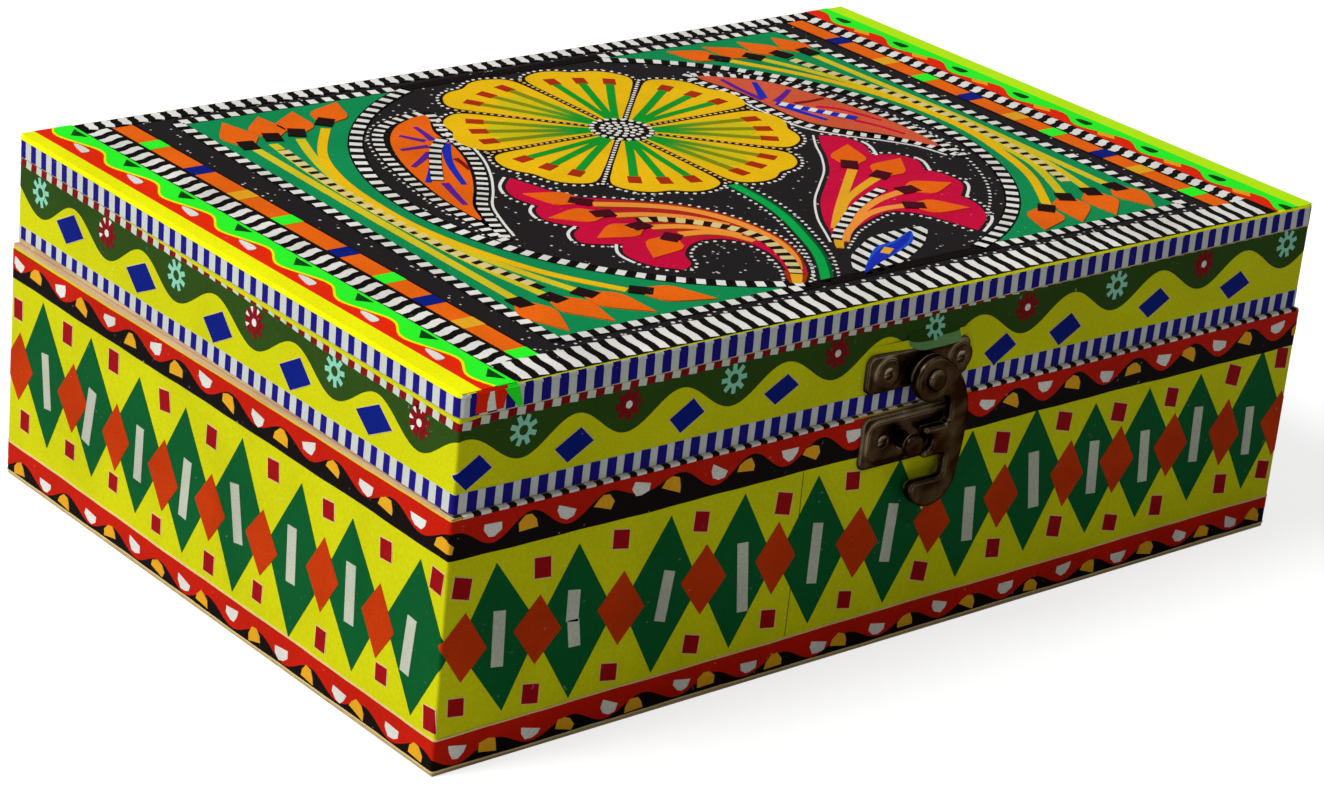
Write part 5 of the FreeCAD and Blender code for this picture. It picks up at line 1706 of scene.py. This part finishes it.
    def veined_leaf(self, cutting, trim, top, leaf, ground, rib_ground):
        """Leaf with coloured veins, a dashed rib and border, beads on one side and a line on the other."""
        shape, border, rib, veins = leaf
        point = max(range(len(border)), key=lambda place: border[place][1])
        outline, edge = spline(shape, 5, True), spline(border, 5, True)
        closed = edge + edge[:1]
        cutting.lay(top, edge, 1, "black")
        cutting.lay(top, ribbon(closed, 19), 1.2, "black")
        for x, y, along in spaced(closed, 20.5):
            cutting.lay(top, box_outline(x, y, 9, 16, along), 2, "white")
        around = beside(closed, -14 if doubled_area(edge) > 0 else 14)
        beads(trim, top, around[:5 * point], 1.5, "white", 1.3, 0.85)
        trim.lay(top, ribbon(around[5 * point + 2:-12], 3.6), 1.6)
        cutting.lay(top, outline, 3, ground)
        for index, (kind, points) in enumerate(veins):
            width = self.VEIN_WIDTHS[kind]
            cutting.lay(top, ribbon(spline(points, 4), width, width * 0.6), 4 + 0.1 * index, kind)
        path = spline(rib, 6)
        cutting.lay(top, ribbon(path, 18), 5, rib_ground)
        for x, y, along in spaced(path, 23):
            cutting.lay(top, box_outline(x, y, 11.5, 17, along), 6, "white")

    def eye_leaf(self, top):
        """Small striped leaf with a blue eye."""
        eye = Cutting("eye_leaf", "lid", "top_film", "white", "black", "azure", "cobalt", "amber")
        outline = spline(self.EYE, 5, True)
        eye.lay(top, outline, 1, "black")
        for index in range(9):
            eye.lay(top, clip(outline, 722 + 23 * index, 734 + 23 * index), 2)
        eye.lay(top, spline(self.EYE_EDGE, 4, True), 3, "azure")
        eye.lay(top, spline(self.EYE_LENS, 4, True), 4, "cobalt")
        eye.lay(top, box_outline(807, 887, 24, 13, -32), 5, "amber")
        eye.done()


class LooseFront:
    """Front of the lid where the film stands off the wall towards the latch plate."""

    hand = 1
    CROWN, PLATE_TOP, STAND_OFF = 90.6, 86.3, 1.62

    def __init__(self, flat_at=None, loose_at=0.0):
        self.base = FILM
        self.flat_at, self.loose_at = flat_at, loose_at

    def at(self, run, rise, height):
        """Point on the loose film, from the lid's middle; a strip may lie flat at one end."""
        share = min(max((self.CROWN - rise) / (self.CROWN - self.PLATE_TOP), 0), 1.15)
        if self.flat_at is not None:
            share *= min(max((run - self.flat_at) / (self.loose_at - self.flat_at), 0), 1)
        return Vector((run, LID_LOW.y - height - self.STAND_OFF * share ** 1.5, rise))

    def parts(self, outline):
        """An outline as it is."""
        return [outline]


class STORAGEBOX_OT_latch_flap(bpy.types.Operator):
    """Lay the loose film over the upper edge of the latch plate, with its small flower"""

    bl_idname = "storage_box.latch_flap"
    bl_label = "Loose Film at the Latch"

    MIDDLE, HALF, FOOT, FLOWER_HEIGHT = 3.4, 9.2, 85.5, 90.7
    # Yellow strips beside the flap: their left and right ends, and where they lie flat and stand fully off
    STRIPS = ((-18.6, -2.4, -18.6, -5.4), (9.2, 17.2, 17.2, 11.8))
    STRIP_FOOT, STRIP_CROWN = 86.5, 88.6

    def execute(self, context):
        loose = LooseFront()
        flap = Cutting("latch_film_flap", "lid", "lid_film", "olive", "yellow", "lit_olive")
        # The flap's lowest rows take the lighter olive: painted highlight on the lip that tilts up.
        self.tongue(flap, loose, self.MIDDLE - self.HALF, self.MIDDLE + self.HALF, self.flap_foot, 2.6,
                    "olive", lip="lit_olive")
        for left, right, flat, loose_end in self.STRIPS:
            self.tongue(flap, LooseFront(flat, loose_end), left, right, lambda share: self.STRIP_FOOT, 1.2,
                        "yellow", self.STRIP_CROWN)
        flap.done()
        flower = Cutting("latch_film_flower", "lid", "lid_film", "mint")
        small_flower(flower, loose, self.MIDDLE + 0.4, self.FLOWER_HEIGHT, False, random.Random(2), 3, 0.84)
        flower.done()
        return {"FINISHED"}

    def flap_foot(self, share):
        """Free edge of the flap, higher towards its ends and most so at the left."""
        return self.FOOT + (1.7 if share < 0 else 0.6) * share ** 4

    @staticmethod
    def tongue(cutting, loose, left, right, foot, layer, tone, crown=LooseFront.CROWN, lip=None):
        """Loose strip from its fold down to a free edge, whose lip may be given a lighter tone as a painted
        highlight.
        """
        across, down = 16, 8
        for side in range(across):
            for row in range(down):
                corners = []
                for column, step in ((side, row + 1), (side + 1, row + 1), (side + 1, row), (side, row)):
                    low = foot(2 * column / across - 1)
                    corners.append((left + (right - left) * column / across,
                                    crown + (low - crown) * step / down))
                # Rows near the free edge take the lighter tone: painted highlight.
                at_lip = lip is not None and row >= down - 3 - 2 * side / across
                cutting.lay(loose, corners, layer, lip if at_lip else tone)


class STORAGEBOX_OT_stage(bpy.types.Operator):
    """Set the floor, the soft lamps and the camera"""

    bl_idname = "storage_box.stage"
    bl_label = "Stage"

    EYE = Vector((-0.6383, -0.7151, 0.4326))
    RIGHT = Vector((0.7676, -0.6341, 0.0932))
    AHEAD = Vector((0.6152, 0.6881, -0.3847))
    FOCUS_PIXELS = 3625.9
    PHOTO_WIDTH = 1324
    SENSOR_WIDTH = 36.0
    # Each lamp: name, place, power and width
    LAMPS = (("left_lamp", (-2.8, 1.0, 3.1), 196.0, 2.0), ("front_lamp", (0.2, -1.9, 2.7), 7.5, 0.35))
    LIT_POINT = Vector((0, 0, 0.06))
    ROOM_COLOUR, ROOM_STRENGTH = (0.96, 1.0, 1.0, 1), 0.166
    FLOOR_REACH, FLOOR_GLOW = 6.0, 0.72

    def execute(self, context):
        scene = context.scene
        scene.view_settings.view_transform = "Standard"
        self.floor(scene)
        self.surroundings(scene)
        for lamp in self.LAMPS:
            self.lamp(scene, *lamp)
        self.camera(scene)
        return {"FINISHED"}

    def floor(self, scene):
        """Pale floor that keeps the shadow of the box."""
        mesh = bpy.data.meshes.new("floor")
        reach = self.FLOOR_REACH
        mesh.from_pydata([(-reach, -reach, 0), (reach, -reach, 0), (reach, reach, 0), (-reach, reach, 0)], [],
                         [(0, 1, 2, 3)])
        material = bpy.data.materials.new("pale_floor")
        material.use_nodes = True
        tree = material.node_tree
        shader = tree.nodes["Principled BSDF"]
        shade = spread(tree, noise(tree, surface_place(tree), 3.0, 3), 0.3, 0.7, 0.985, 1.0)
        tree.links.new(blend_colour(tree, 1.0, tint("floor"), shade, "MULTIPLY"), shader.inputs["Base Color"])
        shader.inputs["Roughness"].default_value = 0.9
        shader.inputs["Emission Color"].default_value = (1, 1, 1, 1)
        seen = add_node(tree, "ShaderNodeLightPath").outputs["Is Camera Ray"]
        tree.links.new(math_node(tree, "MULTIPLY", seen, self.FLOOR_GLOW), shader.inputs["Emission Strength"])
        mesh.materials.append(material)
        floor = bpy.data.objects.new("floor", mesh)
        scene.collection.objects.link(floor)

    def surroundings(self, scene):
        """Even soft light from all round."""
        world = bpy.data.worlds.new("soft_room")
        world.use_nodes = True
        ground = world.node_tree.nodes["Background"]
        ground.inputs["Color"].default_value = self.ROOM_COLOUR
        ground.inputs["Strength"].default_value = self.ROOM_STRENGTH
        scene.world = world

    def lamp(self, scene, name, place, power, width):
        """Soft square lamp that faces the box."""
        light = bpy.data.lights.new(name, "AREA")
        light.energy = power
        light.size = width
        lamp = bpy.data.objects.new(name, light)
        lamp.location = place
        lamp.rotation_euler = (self.LIT_POINT - Vector(place)).to_track_quat("-Z", "Y").to_euler()
        scene.collection.objects.link(lamp)

    def camera(self, scene):
        """Camera at the height, distance and slight roll of the photograph."""
        data = bpy.data.cameras.new("camera")
        data.sensor_width = self.SENSOR_WIDTH
        data.lens = self.FOCUS_PIXELS / self.PHOTO_WIDTH * data.sensor_width
        data.clip_start = 0.05
        camera = bpy.data.objects.new("camera", data)
        back = -self.AHEAD.normalized()
        right = (self.RIGHT - back * self.RIGHT.dot(back)).normalized()
        up = back.cross(right)
        turn = Matrix((right, up, back)).transposed().to_4x4()
        camera.matrix_world = Matrix.Translation(self.EYE) @ turn
        scene.collection.objects.link(camera)
        scene.camera = camera


STEPS = (
    STORAGEBOX_OT_wood, STORAGEBOX_OT_metalwork, STORAGEBOX_OT_body_film, STORAGEBOX_OT_body_borders,
    STORAGEBOX_OT_body_diamonds, STORAGEBOX_OT_lid_film, STORAGEBOX_OT_stripe_tapes,
    STORAGEBOX_OT_top_bands, STORAGEBOX_OT_top_field, STORAGEBOX_OT_top_flower, STORAGEBOX_OT_top_leaves,
    STORAGEBOX_OT_latch_flap, STORAGEBOX_OT_stage)


class STORAGEBOX_PT_panel(bpy.types.Panel):
    """Settings and steps of the storage box"""

    bl_idname = "STORAGEBOX_PT_panel"
    bl_label = "Storage Box"
    bl_space_type = "VIEW_3D"
    bl_region_type = "UI"
    bl_category = "Storage Box"

    def draw(self, context):
        layout = self.layout
        settings = context.scene.storage_box
        for step in STEPS:
            layout.operator(step.bl_idname)
        for group in (settings.sizes, settings.colours):
            column = layout.column(align=True)
            for name in group.__annotations__:
                column.prop(group, name)


CLASSES = (FilmColours, OrnamentSizes, StorageBoxSettings) + STEPS + (STORAGEBOX_PT_panel,)


def register():
    """Add the settings, the steps and the panel."""
    for entry in CLASSES:
        bpy.utils.register_class(entry)
    bpy.types.Scene.storage_box = PointerProperty(type=StorageBoxSettings)


def unregister():
    """Take the settings, the steps and the panel away."""
    del bpy.types.Scene.storage_box
    for entry in reversed(CLASSES):
        bpy.utils.unregister_class(entry)


def main():
    """Dress the box from the boards outward."""
    register()
    for step in STEPS:
        group, name = step.bl_idname.split(".")
        getattr(getattr(bpy.ops, group), name)()


if __name__ == "__main__":
    main()
